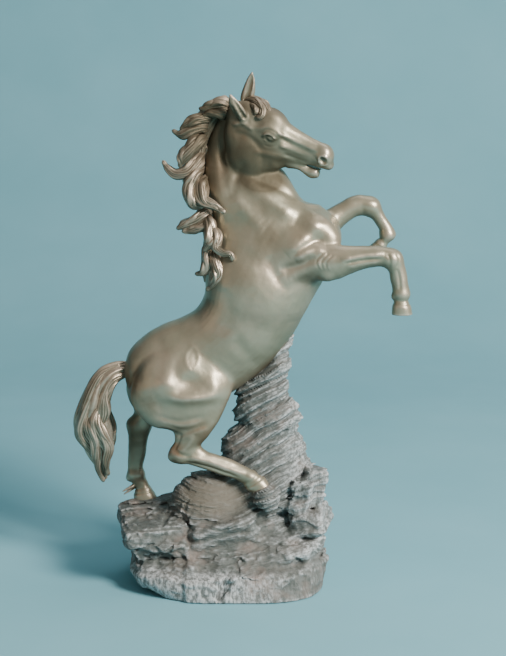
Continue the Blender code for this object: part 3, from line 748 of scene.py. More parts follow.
# Tendons and bones of the legs: side, (x, z) points, radius and height.
LEG_STROKES = (
    # Right foreleg.
    (RIGHT, ((72, 247), (88, 250), (104, 251)), 2.6, 0.9),
    (RIGHT, ((74, 244.5), (88, 247), (104, 248)), 1.2, -0.7),
    (RIGHT, ((76, 241), (90, 244), (102, 246)), 2.2, 0.6),
    (RIGHT, ((113, 241), (115, 232), (115.5, 224)), 1.1, -0.6),
    (RIGHT, ((106, 252), (108, 246), (107, 240)), 1.2, -0.5),
    (RIGHT, ((112, 253), (114.5, 247), (113, 241)), 1.2, -0.4),
    # Left foreleg.
    (LEFT, ((74, 276), (84, 282), (92, 283)), 1.2, -0.6),
    (LEFT, ((102, 275), (106.5, 268), (109, 262)), 1.0, -0.5),
    # Right hind leg: bone and tendon of the cannon, bones of the hock.
    (RIGHT, ((-40, 101), (-24, 97), (-8, 91), (4, 87)), 2.0, 0.9),
    (RIGHT, ((-42, 97.2), (-26, 93.4), (-10, 88), (0, 84.4)), 1.1, -0.8),
    (RIGHT, ((-50, 108), (-44, 103), (-36, 101)), 1.6, -0.7),
    (RIGHT, ((-34, 118), (-38, 110), (-44, 104)), 2.2, 0.7),
    (RIGHT, ((-43, 119), (-46, 111), (-49, 105)), 1.4, -0.7),
    # Left hind leg.
    (LEFT, ((-80.5, 104), (-80.5, 92), (-81.5, 80)), 1.1, -0.6),
    (LEFT, ((-70, 122), (-75, 114), (-79, 108)), 1.6, -0.6),
)


def sculpt_legs(clay):
    """Tendons, bones and a groove round each coronet."""
    for side, line, radius, height in LEG_STROKES:
        clay.stroke(line, radius, height, side=side)
    for rows in HOOVES.values():
        x1, z1, x2, z2, y, wide = rows[1]
        turn = np.linspace(0, 2 * np.pi, 25)
        ring = np.stack([
            (x1 + x2) / 2 + (x1 - x2) / 2 * 1.04 * np.cos(turn),
            y + wide * 1.04 * np.sin(turn),
            (z1 + z2) / 2 + (z1 - z2) / 2 * 1.04 * np.cos(turn) + 0.6,
        ], 1)
        clay.stroke(ring, 0.8, -0.45, taper=False)


# Strokes on each side of the face, drawn straight ahead: points, radius and height.
FACE_STROKES = (
    # Upper lid.
    (((18.8, 11, 336.6), (21.8, 12.4, 339.4), (25.4, 12.4, 338.0), (28.8, 11, 334.4)), 1.0, 1.5),
    # Lower lid.
    (((19.4, 11, 335.4), (22, 12.4, 333.6), (25.6, 12.4, 332.8), (28.8, 11, 333.6)), 0.7, 0.45),
    (((17.4, 10.8, 338.6), (21.4, 11.4, 342.4), (26.6, 11, 341.2), (31, 10, 336.4)), 0.9, -0.8),
    (((18.6, 11, 331.6), (23.4, 11.8, 329.8), (29.6, 10.8, 330.6)), 1.0, -0.2),  # wrinkles under the eye
    (((29, 10, 340), (42, 8, 332.6), (58, 6, 324.8)), 1.5, 1.6),  # edge of the nose's flat top
    (((31, 10, 336), (42, 8.6, 329.6), (54, 7, 322.4)), 1.8, -1.6),  # hollow below it
    (((30, 10.4, 330.6), (38, 9.4, 327), (48, 7.6, 321.6)), 1.6, 1.6),  # facial crest
    (((12, 12, 327), (24, 12, 323.4), (36, 10, 319.6)), 2.4, 1.0),  # top of the cheek muscle
    (((33, 9.6, 324), (42, 8, 319), (52, 7, 315.4)), 1.7, -1.5),  # under the crest
    (((48, 7.4, 326), (54, 7.2, 321.6), (57.5, 7.4, 317)), 1.2, -0.7),  # behind the nostril
    (((57.6, 7.6, 316), (58.8, 8, 320.4), (62.4, 8, 322), (65.4, 7, 319.6)), 0.9, 0.8),  # nostril rim
    (((58, 7.4, 315.2), (61.5, 7.6, 314.2), (65, 6.8, 316)), 0.8, 0.6),
    (((44, 7, 313.6), (50, 7, 313.2), (57, 7, 311.6), (63, 6, 309.8)), 0.8, 0.5),  # upper lip edge
    (((40, 6.4, 318), (46, 6.6, 314.4), (46.5, 6.4, 310.6)), 0.9, -0.6),  # corner of the mouth
    # Front of the cheek.
    (((-5, 11, 340), (7, 12, 338), (15, 12.5, 331), (18, 12, 320), (15, 11, 309)), 2.2, -0.5),
    (((-4, 10, 345), (4, 11, 346.5), (13, 11.6, 341.6)), 1.8, 0.9),
    (((-10, 9, 332), (-9, 10, 319), (-3, 11, 308), (8, 10, 302.6)), 1.6, 0.8),  # edge of the jaw
    (((-13.5, 9, 336), (-13, 9, 318), (-6.5, 9, 305), (2, 8.4, 301)), 2.6, -1.5),
)


def sculpt_head(clay):
    """Lids, nose, cheek and mouth on both sides, and the two ears."""
    for side in (RIGHT, LEFT):
        for line, radius, height in FACE_STROKES:
            clay.stroke(head_pose([(x, y * side, z) for x, y, z in line]), radius, height)
    hollow = head_pose(((4, 3.4, 356), (5, 3.8, 362), (7, 4.8, 369), (9.2, 6.2, 376)))
    clay.stroke(hollow, 1.6, -1.4)  # in the raised ear
    fold = head_pose(((1.8, -12.6, 350), (-0.6, -13.8, 355), (-3, -14.2, 361)))
    clay.stroke(fold, 1.1, -0.8)  # down the rolled ear


# Patches where the patina is warm, and of painted shade, as under the jaw: middle, reach and strength.
WARM_PATCHES = (
    ((-20, -10, 317), 11, 1.2),
    ((-21, -12, 300), 9, 0.8),
    ((8, -20, 318), 13, 0.7),
    ((0, -16, 337), 6, 1.2),
    ((34, -18, 330), 8, 0.4),
    ((20, -16, 262), 13, 0.6),
    ((16, -20, 288), 8, 0.4),
    ((43, -26, 268), 8, 0.4),
    ((-5, -26, 236), 14, 0.5),
    ((-82, -20, 154), 12, 1.2),
    ((-66, -28, 142), 10, 0.6),
    ((-30, -28, 120), 8, 0.9),
    ((-50, -26, 103), 8, 1.3),
    ((-78, 18, 108), 11, 1.0),
    ((-80, 18, 66), 8, 0.7),
    ((45, 24, 262), 14, 0.7),
    ((-50, 26, 150), 16, 0.7),
    ((6, 18, 325), 12, 0.8),
)
# Painted shade: shadows under the jaw, behind the cheek and on the far side; a dimmed forehead and mane
# top.
PAINTED_SHADE_PATCHES = (
    ((6, -20, 323), 15, 1.0),
    ((24, -16, 316), 10, 0.8),
    ((44, -18, 320), 9, 0.5),
    ((20, -12, 338), 22, 0.28),
    ((26, -8, 348), 12, 0.75),
    ((-1, -16, 356), 8, 0.5),
    ((10, -14, 300), 9, 0.9),
    ((23, -11, 300), 8, 0.9),
    ((-12, -13, 334), 7, 1.0),
    ((-10, -14, 322), 7, 1.0),
    ((-22, -8, 352), 15, 0.6),
    ((-34, -8, 341), 15, 0.5),
    ((-36, -8, 322), 13, 0.3),
    ((-40, -26, 119), 13, 0.4),
    ((1, -16, 309), 9, 1.1),
    ((16, -14, 305), 9, 1.1),
    ((28, -9, 306), 8, 0.8),
    ((-13, -14, 322), 9, 1.0),
    ((-20, -10, 326), 12, 1.1),
    ((-21, -11, 305), 10, 0.9),
    ((6, -8, 353), 8, 1.0),
    ((-14, -8, 343), 13, 0.9),
    ((-78, 16, 96), 17, 0.35),
    ((48, -18, 232), 9, 0.5),
    ((-26, -24, 112), 7, 0.5),
    ((6, 20, 320), 16, 0.5),
    ((-26, 20, 210), 18, 0.4),
)


def patch_strength(points, patches):
    total = 0
    for middle, reach, strength in patches:
        away = np.linalg.norm(points - np.array(middle), axis=1) / reach
        total = total + strength * np.exp(-away * away)
    return total


def warmth(points):
    """How coppery the patina is at each point, from 0 to 1."""
    return np.clip(0.14 + 0.34 * fractal(points, 34, 71) + patch_strength(points, WARM_PATCHES), 0, 1)


def wash_and_painted_shade(points, normals):
    """How much dark wash and painted shade there is at each point, from 0 to 1: most in the shade patches
    and underneath.
    """
    # A random dark wash, and painted shade on the surfaces that face down.
    wash_and_shade = 0.22 * fractal(points, 26, 91) + 0.85 * np.clip(-normals[:, 2] + 0.02, 0, 1)
    return np.clip(wash_and_shade + patch_strength(points, PAINTED_SHADE_PATCHES), 0, 1)


# Unevenness of the cast skin: height and size in mm, and seed.
CASTING_LUMPS = ((0.26, 12, 61), (0.12, 5.5, 62), (0.04, 2.7, 63))


def horse_regions(at):
    """Which casting each place on the skin belongs to. The seams run where the castings meet."""
    x, y, z = at.T
    head = (x > -1 - 0.23 * (z - 300)) & ((z > 304 + 0.14 * x) | ((x > 38) & (z > 296)))
    neck = ~head & (z > 270 - 0.16 * x) & (x < 56)
    right_fore = (y < -9) & (z < 262) & (x > 62) | (x > 78) & (y < 0)
    left_fore = (y > 9) & (z > 250) & (x > 66) | (x > 78) & (y >= 0)
    right_hind = (y < 0) & (z < 124) | (y < -9) & (z < 160 - 0.2 * (x + 40))
    left_hind = (y >= 0) & (z < 124) | (y > 9) & (z < 160 - 0.2 * (x + 50))
    regions = {}
    free = np.ones(len(at), bool)
    for name, inside in (
        ("right_foreleg", right_fore & ~head & ~neck),
        ("left_foreleg", left_fore & ~head & ~neck),
        ("head", head),
        ("neck", neck),
        ("right_hind_leg", right_hind),
        ("left_hind_leg", left_hind),
    ):
        regions[name] = free & inside
        free &= ~inside
    regions["trunk"] = free
    return regions


def make_horse(material):
    """The horse is modelled as one skin, so that its seams don't show, and then parted into castings."""
    points, quads = horse_field().surface()
    clay = Clay(relax(points, quads, 2), quads)
    sculpt_body(clay)
    clay.refresh()
    sculpt_head(clay)
    lumps = sum(high * noise(clay.points, size, seed) for high, size, seed in CASTING_LUMPS)
    clay.points += clay.normals * lumps[:, None]
    clay.points = relax(clay.points, quads, 1, 0.35)
    clay.refresh()
    values = {
        "relief": relief(clay.points, quads),
        "warm": warmth(clay.points),
        "dark": wash_and_painted_shade(clay.points, clay.normals),
    }
    for name, chosen in horse_regions(clay.points[quads].mean(axis=1)).items():
        shape = cut_out(clay.points, quads, chosen, values, clay.normals)
        finish_piece(mesh_object(name + "_casting", *shape), (name,), material)


# ---------------------------------------------------------------------------
# Hair: grooved, wavy locks
# ---------------------------------------------------------------------------


def directions_across(centre):
    """Two directions square to a line at each of its points: the nearest to Y, and the one across both."""
    along = np.gradient(centre, axis=0)
    along /= np.linalg.norm(along, axis=1, keepdims=True)
    side = np.array([0.0, 1.0, 0.0]) - along * along[:, 1:2]
    side /= np.linalg.norm(side, axis=1, keepdims=True)
    return side, np.cross(side, along)


def sweep(centre, across, around, ridges, depth, phase):
    """A tapering strand: centres, (radius in XZ, radius in Y) pairs, and fine ridges along it."""
    side, up = directions_across(centre)
    turn = np.linspace(0, 2 * np.pi, around, endpoint=False)[None]
    t = np.linspace(0, 1, len(centre))[:, None]
    groove = np.cos(ridges * turn + phase + 1.2 * t + 0.9 * np.sin(9.0 * t + phase + turn))
    swell = 1 + depth * groove
    ring = (
        centre[:, None]
        + up[:, None] * (across[:, 0:1] * np.cos(turn) * swell)[..., None]
        + side[:, None] * (across[:, 1:2] * np.sin(turn) * swell)[..., None]
    )
    return ring, groove


def strands_of(points, count, seed):
    """A lock's grooved core, and strands that wind round it, part a little and curl in at its tip."""
    rows = smooth_rows(points, 1.1)
    centre, sizes = rows[:, :3], rows[:, 3:5]
    t = np.linspace(0, 1, len(rows))
    length = np.linalg.norm(np.diff(centre, axis=0), axis=1).sum()
    blunt = np.clip((t - 1) * length / 3.4 + 1, 0, 1)
    sizes = np.maximum(sizes, 2.0) * np.sqrt(np.clip(1.0 - blunt**2, 0.004, 1))[:, None]
    sizes = sizes * np.clip(0.35 + 3.0 * t, 0, 1)[:, None]
    side, up = directions_across(centre)
    rng = np.random.default_rng(seed)
    yield sweep(centre, sizes * 0.90, 56, 13, 0.06, rng.uniform(0, 6.3))
    twist = rng.uniform(-0.4, 0.4)
    for k in range(count):
        wave = rng.uniform(0.8, 1.5), rng.uniform(0, 6.3)
        angle = 2 * np.pi * (k / count + twist * t) + rng.uniform(-0.3, 0.3)
        angle = angle + 0.6 * np.sin(2 * np.pi * wave[0] * t + wave[1])
        out = 0.60 + 0.18 * np.sin(2 * np.pi * (wave[0] + 0.5) * t + wave[1] * 2)
        shift = up * (sizes[:, 0] * out * np.cos(angle))[:, None]
        shift = shift + side * (sizes[:, 1] * out * np.sin(angle))[:, None]
        radius = rng.uniform(0.36, 0.52) * np.sqrt(sizes[:, 0] * sizes[:, 1])
        end = rng.uniform(0.86, 1.0)
        keep = t <= end + 1e-9
        taper = np.clip((end - t) / 0.2, 0, 1) ** 0.5
        across = np.stack([radius, radius], 1) * taper[:, None] + 0.10
        yield sweep((centre + shift)[keep], across[keep], 22, 5, 0.09, rng.uniform(0, 6.3))


def hair_piece(node, locks, seed, material):
    """One piece of one or more locks, each with its own seed."""
    all_points, all_faces, raised, facing = [], [], [], []
    start = 0
    for k, (count, *points) in enumerate(locks):
        for ring, groove in strands_of(points, count, seed + k):
            mesh_points, faces = tube(ring)
            all_points.append(mesh_points)
            all_faces.append(faces + start)
            bare = relief(mesh_points, faces, (2, 5))
            raised.append(bare + 0.26 * np.append(groove.ravel(), (0, 0)))
            facing.append(normals_of(mesh_points, faces))
            start += len(mesh_points)
    points = np.concatenate(all_points)
    values = {
        "relief": np.concatenate(raised),
        "warm": warmth(points),
        "dark": wash_and_painted_shade(points, np.concatenate(facing)),
    }
    piece = mesh_object(node + "_strands", points, np.concatenate(all_faces), values)
    finish_piece(piece, (node,), material)


# Each lock is its number of strands, then its points: x, y, z, half thickness in the XZ plane and
# half width in Y. The mane's are grouped by piece, from the poll down, the right side's first.
MANE = (
    (  # 1
        (6, (-7, 0.5, 356, 5, 4), (-12, -4, 357.5, 5.4, 5), (-21, -5, 356, 4.2, 4.4),
         (-27, -6, 354, 2.4, 2.6), (-30, -6, 354.5, 0.4, 0.5)),
        (4, (-8, -2.5, 350, 4, 3.4), (-13, -7, 351, 3.8, 4), (-21, -7, 350.6, 3, 3.4),
         (-28, -7, 349, 0.5, 0.6)),
    ),
    (  # 2
        (6, (-21, 2.5, 347, 5, 4.6), (-26.5, -4, 347, 4.6, 4.6), (-33, -7, 345.6, 3.8, 4),
         (-40, -7, 342, 2.6, 3), (-43.5, -7, 338.4, 0.5, 0.6)),
        (6, (-23, 3.5, 340, 4.6, 4), (-28.5, -3, 340.5, 4.4, 4.4), (-36, -6, 337.5, 3.8, 4),
         (-43, -6, 335.5, 3, 3.2), (-49.5, -6, 339, 0.5, 0.6)),
    ),
    (  # 3
        (6, (-25, 1.5, 332, 5, 4.6), (-30.5, -6, 330, 5.4, 5), (-36, -9, 325, 5, 4.8),
         (-42, -9, 318, 3.8, 4), (-44, -9, 311.5, 0.6, 0.8)),
        (6, (-27, 4.5, 322, 5, 5), (-32.5, -3, 314.5, 5, 5), (-39, -6, 308, 4.6, 4.6),
         (-47.5, -6, 307.6, 3.8, 4), (-53, -6, 312, 2.6, 2.8), (-56.5, -6, 317, 0.5, 0.6)),
    ),
    (  # 4
        (7, (-27, 2.5, 312, 5, 4.6), (-33.5, -6, 305, 5.4, 5), (-37.5, -9, 295, 5.2, 5),
         (-34, -10, 286, 4, 4), (-26, -11, 283, 0.8, 1)),
        (6, (-25, -1.5, 305, 5, 4), (-28.5, -10, 297, 5.2, 4), (-26, -14, 288.5, 4.4, 3.4),
         (-18, -16, 284, 3, 2.6), (-10, -18.5, 280, 0.5, 0.6)),
    ),
    (  # 5
        (6, (-20, -1.5, 280, 4.6, 4.6), (-26, -7, 278, 4.8, 5), (-35, -8, 272.6, 4.2, 4.6),
         (-42, -8, 269.6, 3.4, 3.6), (-46.8, -8, 267, 0.6, 0.8)),
        (5, (-22, -4.5, 275, 4, 4), (-26, -10, 270, 4, 4), (-34, -10, 266.6, 3, 3.2),
         (-43, -9, 265.4, 0.5, 0.6)),
    ),
    (  # 6
        (6, (-24, -6.5, 277, 4.8, 4.2), (-21.5, -15, 268, 5, 4.4), (-22, -17.5, 259, 4.6, 4.2),
         (-26.5, -17, 251.5, 0.8, 1)),
        (5, (-21, -9.5, 270, 4.2, 3.8), (-17, -18.5, 262, 4.4, 3.8), (-17, -21, 254.5, 3.6, 3.4),
         (-12, -23, 251.6, 2.4, 2.6), (-7, -24.5, 251, 1.8, 2), (-5, -24.5, 245.4, 0.4, 0.5)),
    ),
    (  # 7
        (6, (-23, -6, 259, 4.4, 4), (-24, -12, 250, 4.8, 4.4), (-23.5, -13.5, 241.5, 4.6, 4.4),
         (-27.5, -13.5, 236, 3.2, 3.6), (-33.4, -12, 234.5, 0.5, 0.6)),
    ),
    (  # 8
        (5, (-21, -9.5, 253, 3.8, 3.4), (-17.5, -18, 244, 4.2, 3.8), (-15.5, -19.5, 236, 4, 3.6),
         (-19, -18, 228.5, 3, 3), (-25.4, -15, 222.6, 0.4, 0.5)),
        (4, (-24, -7.5, 246, 3, 3), (-21, -13, 237, 3.2, 3), (-20, -13.6, 229, 2.6, 2.6),
         (-20, -13.6, 221, 0.4, 0.5)),
    ),
    (  # 9
        (6, (-17, 2, 350, 5, 5), (-24, 7, 348, 5, 5), (-33, 9, 343, 4, 4.4), (-39, 10, 338, 2.6, 3),
         (-43.5, 10, 337.4, 0.5, 0.6)),
        (6, (-19, 5, 340, 4.4, 4), (-26, 11, 336, 4.4, 4.2), (-33, 13, 328, 3.6, 3.8),
         (-40, 14, 324, 0.5, 0.6)),
    ),
    (  # 10
        (6, (-23, 3, 326, 5, 5), (-30, 9, 318, 5.4, 5), (-36, 12, 307, 4.6, 4.6),
         (-42.6, 13, 299.4, 0.6, 0.8)),
        (6, (-21, 7, 316, 4.6, 4), (-25, 13, 306, 4.6, 4), (-27, 15, 297, 3.8, 3.6),
         (-33, 16, 290.5, 0.5, 0.6)),
    ),
    (  # 11
        (6, (-23, 4, 300, 5, 4.6), (-28, 11, 291, 5, 4.6), (-26, 15, 281, 4.4, 4.2),
         (-31, 17, 272.4, 0.6, 0.8)),
        (5, (-19, 9, 292, 4, 3.6), (-20, 15.5, 282, 4.2, 3.6), (-17, 18, 273, 3.4, 3),
         (-20, 19.5, 265, 0.5, 0.6)),
    ),
    (  # 12
        (6, (-21, 5, 274, 4.6, 4.2), (-23, 12, 264, 4.6, 4.2), (-19, 16, 254.5, 4, 3.8),
         (-23, 19.5, 245.4, 0.6, 0.8)),
    ),
    (  # 13
        (6, (-22, 5, 256, 4.2, 4), (-24, 10, 245, 4.2, 4), (-22.5, 13, 235, 3.4, 3.4),
         (-26.5, 14, 226, 0.5, 0.6)),
    ),
)
CREST = (
    (9, (2, 0, 356, 4, 3), (-8, 0, 356, 4.6, 5), (-17, 2, 350, 4.8, 5.4), (-24, 4, 340, 4.4, 5.4),
     (-28.5, 5, 328, 4.2, 5.4), (-31, 5, 314, 4.2, 5.4), (-31, 4, 300, 4.2, 5.4),
     (-28, 2, 286, 4.2, 5.2), (-24, 0, 272, 4.4, 5), (-23, 0, 258, 4.4, 4.8), (-25, 0, 245, 4.2, 4.4),
     (-25.6, 0, 234, 3.2, 3.4), (-25.4, 0, 226, 0.8, 0.8)),
)
FORELOCK = (
    (4, (1, 0, 357, 2.6, 3), (7, -6, 359.6, 3, 3.2), (12.6, -12.4, 357.6, 3, 3),
     (16.6, -16, 353, 2.8, 2.8), (14.6, -17.6, 348.4, 2.4, 2.4), (11, -17, 349, 1.8, 1.8)),
    (4, (2, 0, 358, 2.4, 3), (9, -3, 360.6, 2.8, 3), (15.6, -9, 358.4, 2.8, 3),
     (20, -13, 354, 2.4, 2.4), (22, -14.6, 350, 1.8, 1.8)),
    (4, (5, -6, 356, 2.4, 2.6), (9.6, -13.6, 355.6, 2.6, 2.4), (11.6, -16.8, 352.2, 2.2, 2),
     (10.6, -17.6, 350, 1.8, 1.8)),
    (4, (3, 3, 358, 2.6, 3), (10, 2, 360.6, 2.8, 3), (17, -1, 358, 2.6, 2.8), (22, -4, 354, 1.8, 1.8)),
)
TAIL = (
    (9, (-76, 0, 162, 6, 5), (-88, 0, 162, 7, 6), (-98, -1, 157, 7, 7), (-106, -2, 147, 8, 8),
     (-108.3, -2, 132, 9.6, 9), (-108.8, -1, 117, 12, 9.5), (-108, 0, 103, 10, 8), (-105, 0, 90, 6, 5),
     (-102, 0, 76, 0.6, 0.7)),
    (5, (-84, -3, 158, 4, 4), (-95, -6, 153.6, 4.2, 4), (-101, -8.5, 142, 4.6, 4),
     (-102.4, -9, 128, 4.6, 4), (-106, -8, 116, 0.6, 0.7)),
    (6, (-90, -2, 165, 3, 4), (-103, -5, 158, 4, 4.4), (-110.8, -7, 145, 4.4, 4.6),
     (-116.4, -7, 128, 4.6, 4.6), (-119.4, -6, 113, 4, 4), (-112.8, -5, 101, 3.4, 3.4),
     (-106, -5, 93, 0.6, 0.7)),
    (6, (-104, -8, 138, 4, 3.6), (-108, -10.5, 126, 5, 4), (-104, -11, 114, 5.4, 4),
     (-99, -9, 103, 4.6, 3.8), (-101, -6, 91, 3, 2.8), (-99.6, -4, 80, 0.5, 0.6)),
    (6, (-109.8, -7, 134, 4, 3.6), (-113.4, -9, 121, 4.6, 4), (-108.4, -9.6, 108, 4.6, 3.8),
     (-107.6, -7, 95, 3.6, 3.2), (-107, -4, 84, 2.2, 2.2), (-103, -2, 74.6, 0.5, 0.6)),
    (6, (-88, 3, 163, 3.6, 4), (-100, 6, 156, 4.2, 4.4), (-108, 8.6, 143, 4.8, 4.4),
     (-110.8, 9, 127, 5, 4.6), (-107.8, 8.6, 112, 4.6, 4), (-104, 6, 98, 3.4, 3.2),
     (-104, 3, 85, 0.5, 0.6)),
    (6, (-92, 4, 158, 3.6, 3.6), (-100, 7.6, 146, 4, 4), (-103, 9.6, 132, 4.6, 4),
     (-100, 9.4, 118, 4.6, 4), (-97.6, 7, 106, 3.6, 3.4), (-100, 4, 93, 0.5, 0.6)),
    (6, (-96, 1, 164, 2.6, 4), (-107.8, 1.6, 152, 3.4, 5), (-117.8, 2, 136, 3.4, 5.4),
     (-121.8, 1.6, 120, 3, 5), (-122.2, 1, 109, 2.4, 4), (-114.8, 0.6, 99, 0.6, 0.8)),
)


def make_hair(material):
    for number, locks in enumerate(MANE, 1):
        hair_piece(f"mane_lock_{number}", locks, 10 * number + 1, material)
    hair_piece("mane_crest", CREST, 5, material)
    hair_piece("forelock", FORELOCK, 141, material)
    hair_piece("tail", TAIL, 151, material)


# ---------------------------------------------------------------------------
# Rocks
# ---------------------------------------------------------------------------

# Sections of rock: height, middle x, half width, middle y, half depth.
ROCK_BASE = (
    (-2, -4, 60.5, 0, 58),
    (0.8, -4, 62.5, 0, 60.5),
    (6, -8, 68, 0, 60.5),
    (13, -10.5, 71.5, 0, 59.5),
    (19, -11.5, 73, 0, 57.5),
    (23, -12.5, 73, 1, 50),
    (31, -12.5, 73.5, 3, 42.5),
    (41, -13, 74, 5, 38),
    (49, -12, 70, 7, 35),
    (54, -7, 62, 8, 33),
    (62, 6, 48, 9, 28),
    (70, 16, 34, 9, 22),
)
ROCK_PILLAR = (
    (56, 20, 40, 6, 30),
    (66, 22, 41, 5, 30),
    (76, 22, 37, 3, 28),
    (88, 19, 33, 2, 25),
    (99, 18, 31, 1, 21),
    (108, 17, 29, 1, 19),
    (114, 17.5, 25, 1, 18),
    (119, 21, 21.5, 0, 17),
    (129, 21, 23.5, 0, 16.5),
    (139, 16.5, 19.5, 0, 15),
    (151, 17.5, 17, 0, 13.5),
    (162, 23.5, 12.5, 0, 12),
    (173, 29, 8.5, 0, 9.5),
    (186, 34, 5, 0, 6),
)
# Slabs and columns: middle, half size, turn in degrees, rounding of their edges, blend.
ROCK_BLOCKS = (
    ((-66, -8, 46), (22, 30, 6.5), (6, -7, 12), 2.0, 2.5),
    ((-56, -15, 31), (20, 26, 6.5), (5, -5, -8), 2.4, 3.5),
    ((-48, -30, 20), (22, 20, 7), (12, -4, -20), 4.0, 6.0),
    ((-12, -22, 46), (24, 18, 12), (18, -12, 4), 6.0, 7.0),
    ((52.5, -7, 73), (8, 14, 15), (0, 7, 12), 2.6, 2.0),
    ((45, -15, 66), (8, 13, 15), (0, 12, -8), 2.6, 3.0),
    ((52.5, -10, 49), (13, 22, 8.5), (2, -5, -12), 5.0, 3.0),
    ((44, -24, 27), (14, 18, 8), (2, -6, -24), 4.0, 5.0),
    ((10, -38, 24), (30, 12, 9), (22, -8, 3), 6.0, 8.0),
    ((-25, 30, 44), (34, 14, 9), (-8, -4, 6), 3.0, 4.0),
    ((30, 30, 42), (26, 13, 12), (-6, 5, -16), 3.0, 4.0),
    ((18, 24, 66), (24, 10, 16), (0, 8, 0), 3.4, 4.0),
)
# Cracks in the front and in the back: (x, z) points, half width, depth.
FRONT_CRACKS = (
    (((-38, 66), (-42, 58), (-39.5, 50), (-42, 42)), 1.5, 1.3),
    (((-66, 31), (-60, 30), (-53, 33), (-50, 38)), 1.8, 1.9),
    (((-62, 29), (-70, 27.5)), 1.3, 1.7),
    (((-45, 61), (-51, 57), (-57, 51)), 2.0, 1.2),
    (((-46, 33), (-42, 28), (-40, 25)), 1.4, 1.1),
    (((44, 84), (39, 79), (36, 72), (29, 66)), 2.4, 1.5),
    (((-30, 33), (-12, 38), (10, 41), (34, 47)), 1.3, 0.8),
    (((-34, 26), (-14, 30), (12, 36), (40, 38)), 1.4, 0.8),
    (((0, 47), (14, 54), (30, 60)), 1.6, 1.1),
    (((-4, 88), (8, 96), (22, 108)), 1.3, 1.3),
    (((2, 120), (14, 127), (30, 140)), 1.3, 1.1),
)
BACK_CRACKS = (
    (((-50, 50), (-44, 40), (-47, 28)), 1.6, 3.0),
    (((-10, 62), (4, 54), (8, 40), (2, 26)), 1.8, 3.4),
    (((44, 84), (36, 70), (40, 56)), 1.8, 3.4),
    (((8, 116), (20, 106), (24, 92)), 1.5, 2.4),
)
CRACK_WIDTH, CRACK_DEPTH = 1.25, 0.7  # shares of the sizes above
ROCK_SPACE = ((-104, -74, -4), (84, 74, 200))  # corners of its grid
ROCK_VOXEL, ROCK_REACH = 0.82, 9.0
ROCK_FOOT = 0.7  # height of its flat underside
DEEPEST_RELIEF = 5.0
PILLAR_START = 58  # the layer where the pillar's casting meets the base's


def rock_rings(rows):
    """Rings that are squarish low down and round higher up."""
    rows = smooth_rows(rows, 2.0)
    turn = np.linspace(0, 2 * np.pi, 96, endpoint=False)[None]
    power = 0.60 + 0.4 * np.clip((rows[:, 0:1] - 10) / 60, 0, 1)
    x = rows[:, 1:2] + rows[:, 2:3] * np.sign(np.cos(turn)) * np.abs(np.cos(turn)) ** power
    y = rows[:, 3:4] + rows[:, 4:5] * np.sign(np.sin(turn)) * np.abs(np.sin(turn)) ** power
    z = np.repeat(rows[:, 0:1], turn.shape[1], axis=1)
    return np.stack([x, y, z], -1)


def bedding(points):
    """Height across the rock's layers, in mm. They rise to the right, more steeply higher up."""
    x, y, z = points.T
    high = np.clip((z - 40) / 45, 0, 1)
    tilt = 0.20 * np.clip((x + 45) / 30, 0, 1) + 0.34 * high * high * (3 - 2 * high)
    warp = 3.4 * noise(points, 30, 301) + 1.3 * noise(points, 11, 302)
    return z - tilt * np.clip(x - 20, -34, 34) + 0.12 * y + warp


def ledges(level, thickness, seed):
    """Each layer stands out by its own amount, from -0.5 to 0.5, with a sharp lower edge."""
    layer = np.floor(level / thickness)
    inside = level / thickness - layer
    own = np.random.default_rng(seed).random(512)
    here, below = own[layer.astype(int) % 512], own[(layer.astype(int) - 1) % 512]
    step = np.clip(inside / 0.2, 0, 1)
    return below + (here - below) * step * step * (3 - 2 * step) - 0.5 + 0.35 * (0.5 - inside)


def broken_faces(points, size, seed):
    """Flat faces of broken stone: each random cell tilts its own way. Also how near a cell's edge is."""
    p = points / size
    cell = np.floor(p).astype(int)
    table = np.random.default_rng(seed).random((16, 16, 16, 7))
    best, second = np.full(len(p), 99.0), np.full(len(p), 99.0)
    height = np.zeros(len(p))
    for shift in np.ndindex(3, 3, 3):
        other = cell + shift - 1
        own = table[other[:, 0] % 16, other[:, 1] % 16, other[:, 2] % 16]
        offset = p - other - own[:, :3]
        away = np.linalg.norm(offset, axis=1)
        plane = own[:, 3] - 0.5 + ((own[:, 4:] - 0.5) * offset).sum(1) * 1.6
        closer = away < best
        second = np.where(closer, best, np.minimum(second, away))
        height = np.where(closer, plane, height)
        best = np.where(closer, away, best)
    return height, second - best


def bedded(points):
    """How strongly the layers show: faint in the base, strong in the pillar."""
    high = np.clip((bedding(points) - 46) / 16, 0, 1)
    return 0.38 + 0.62 * high


def big_steps(points):
    """The slab's overhanging edge, the lip round the foot and slanting shelves between, in mm."""
    x, y, z = points.T
    wander = 1.6 * noise(points, 13, 360)
    slab_edge = 30 + 0.28 * np.abs(x + 63) + wander
    height = 1.9 * np.tanh((z - slab_edge) / 1.2) * np.clip((-39 - x) / 3, 0, 1) * (z < 48)
    lip = 19.5 + 0.04 * x + 1.3 * wander
    height += 2.2 * np.tanh((lip - z) / 1.8) * np.clip((32 - z) / 6, 0, 1)
    for start, rise in ((29, 0.19), (38, 0.23), (47, 0.26)):
        shelf = start + rise * (x + 34) + 1.4 * wander
        edge = np.exp(-(((z - shelf) / 4.0) ** 2)) * np.tanh((shelf - z) / 1.4)
        height += edge * np.clip((x + 40) / 6, 0, 1)
    return height * np.clip(-y / 12, 0.3, 1)


def dome(points):
    """1 on the smooth brown dome behind the right cannon, 0 away from it."""
    away = np.linalg.norm((points - (-22, -22, 69)) / (29, 20, 15), axis=1)
    return np.exp(-(away**4))


def flowing(points):
    """1 on the smooth shelves in the middle of the base's front, 0 elsewhere."""
    x, y, z = points.T
    band = np.clip((z - 18) / 6, 0, 1) * np.clip((58 - z) / 10, 0, 1)
    return np.clip((x + 38) / 8, 0, 1) * band * np.clip(-y / 10, 0, 1)


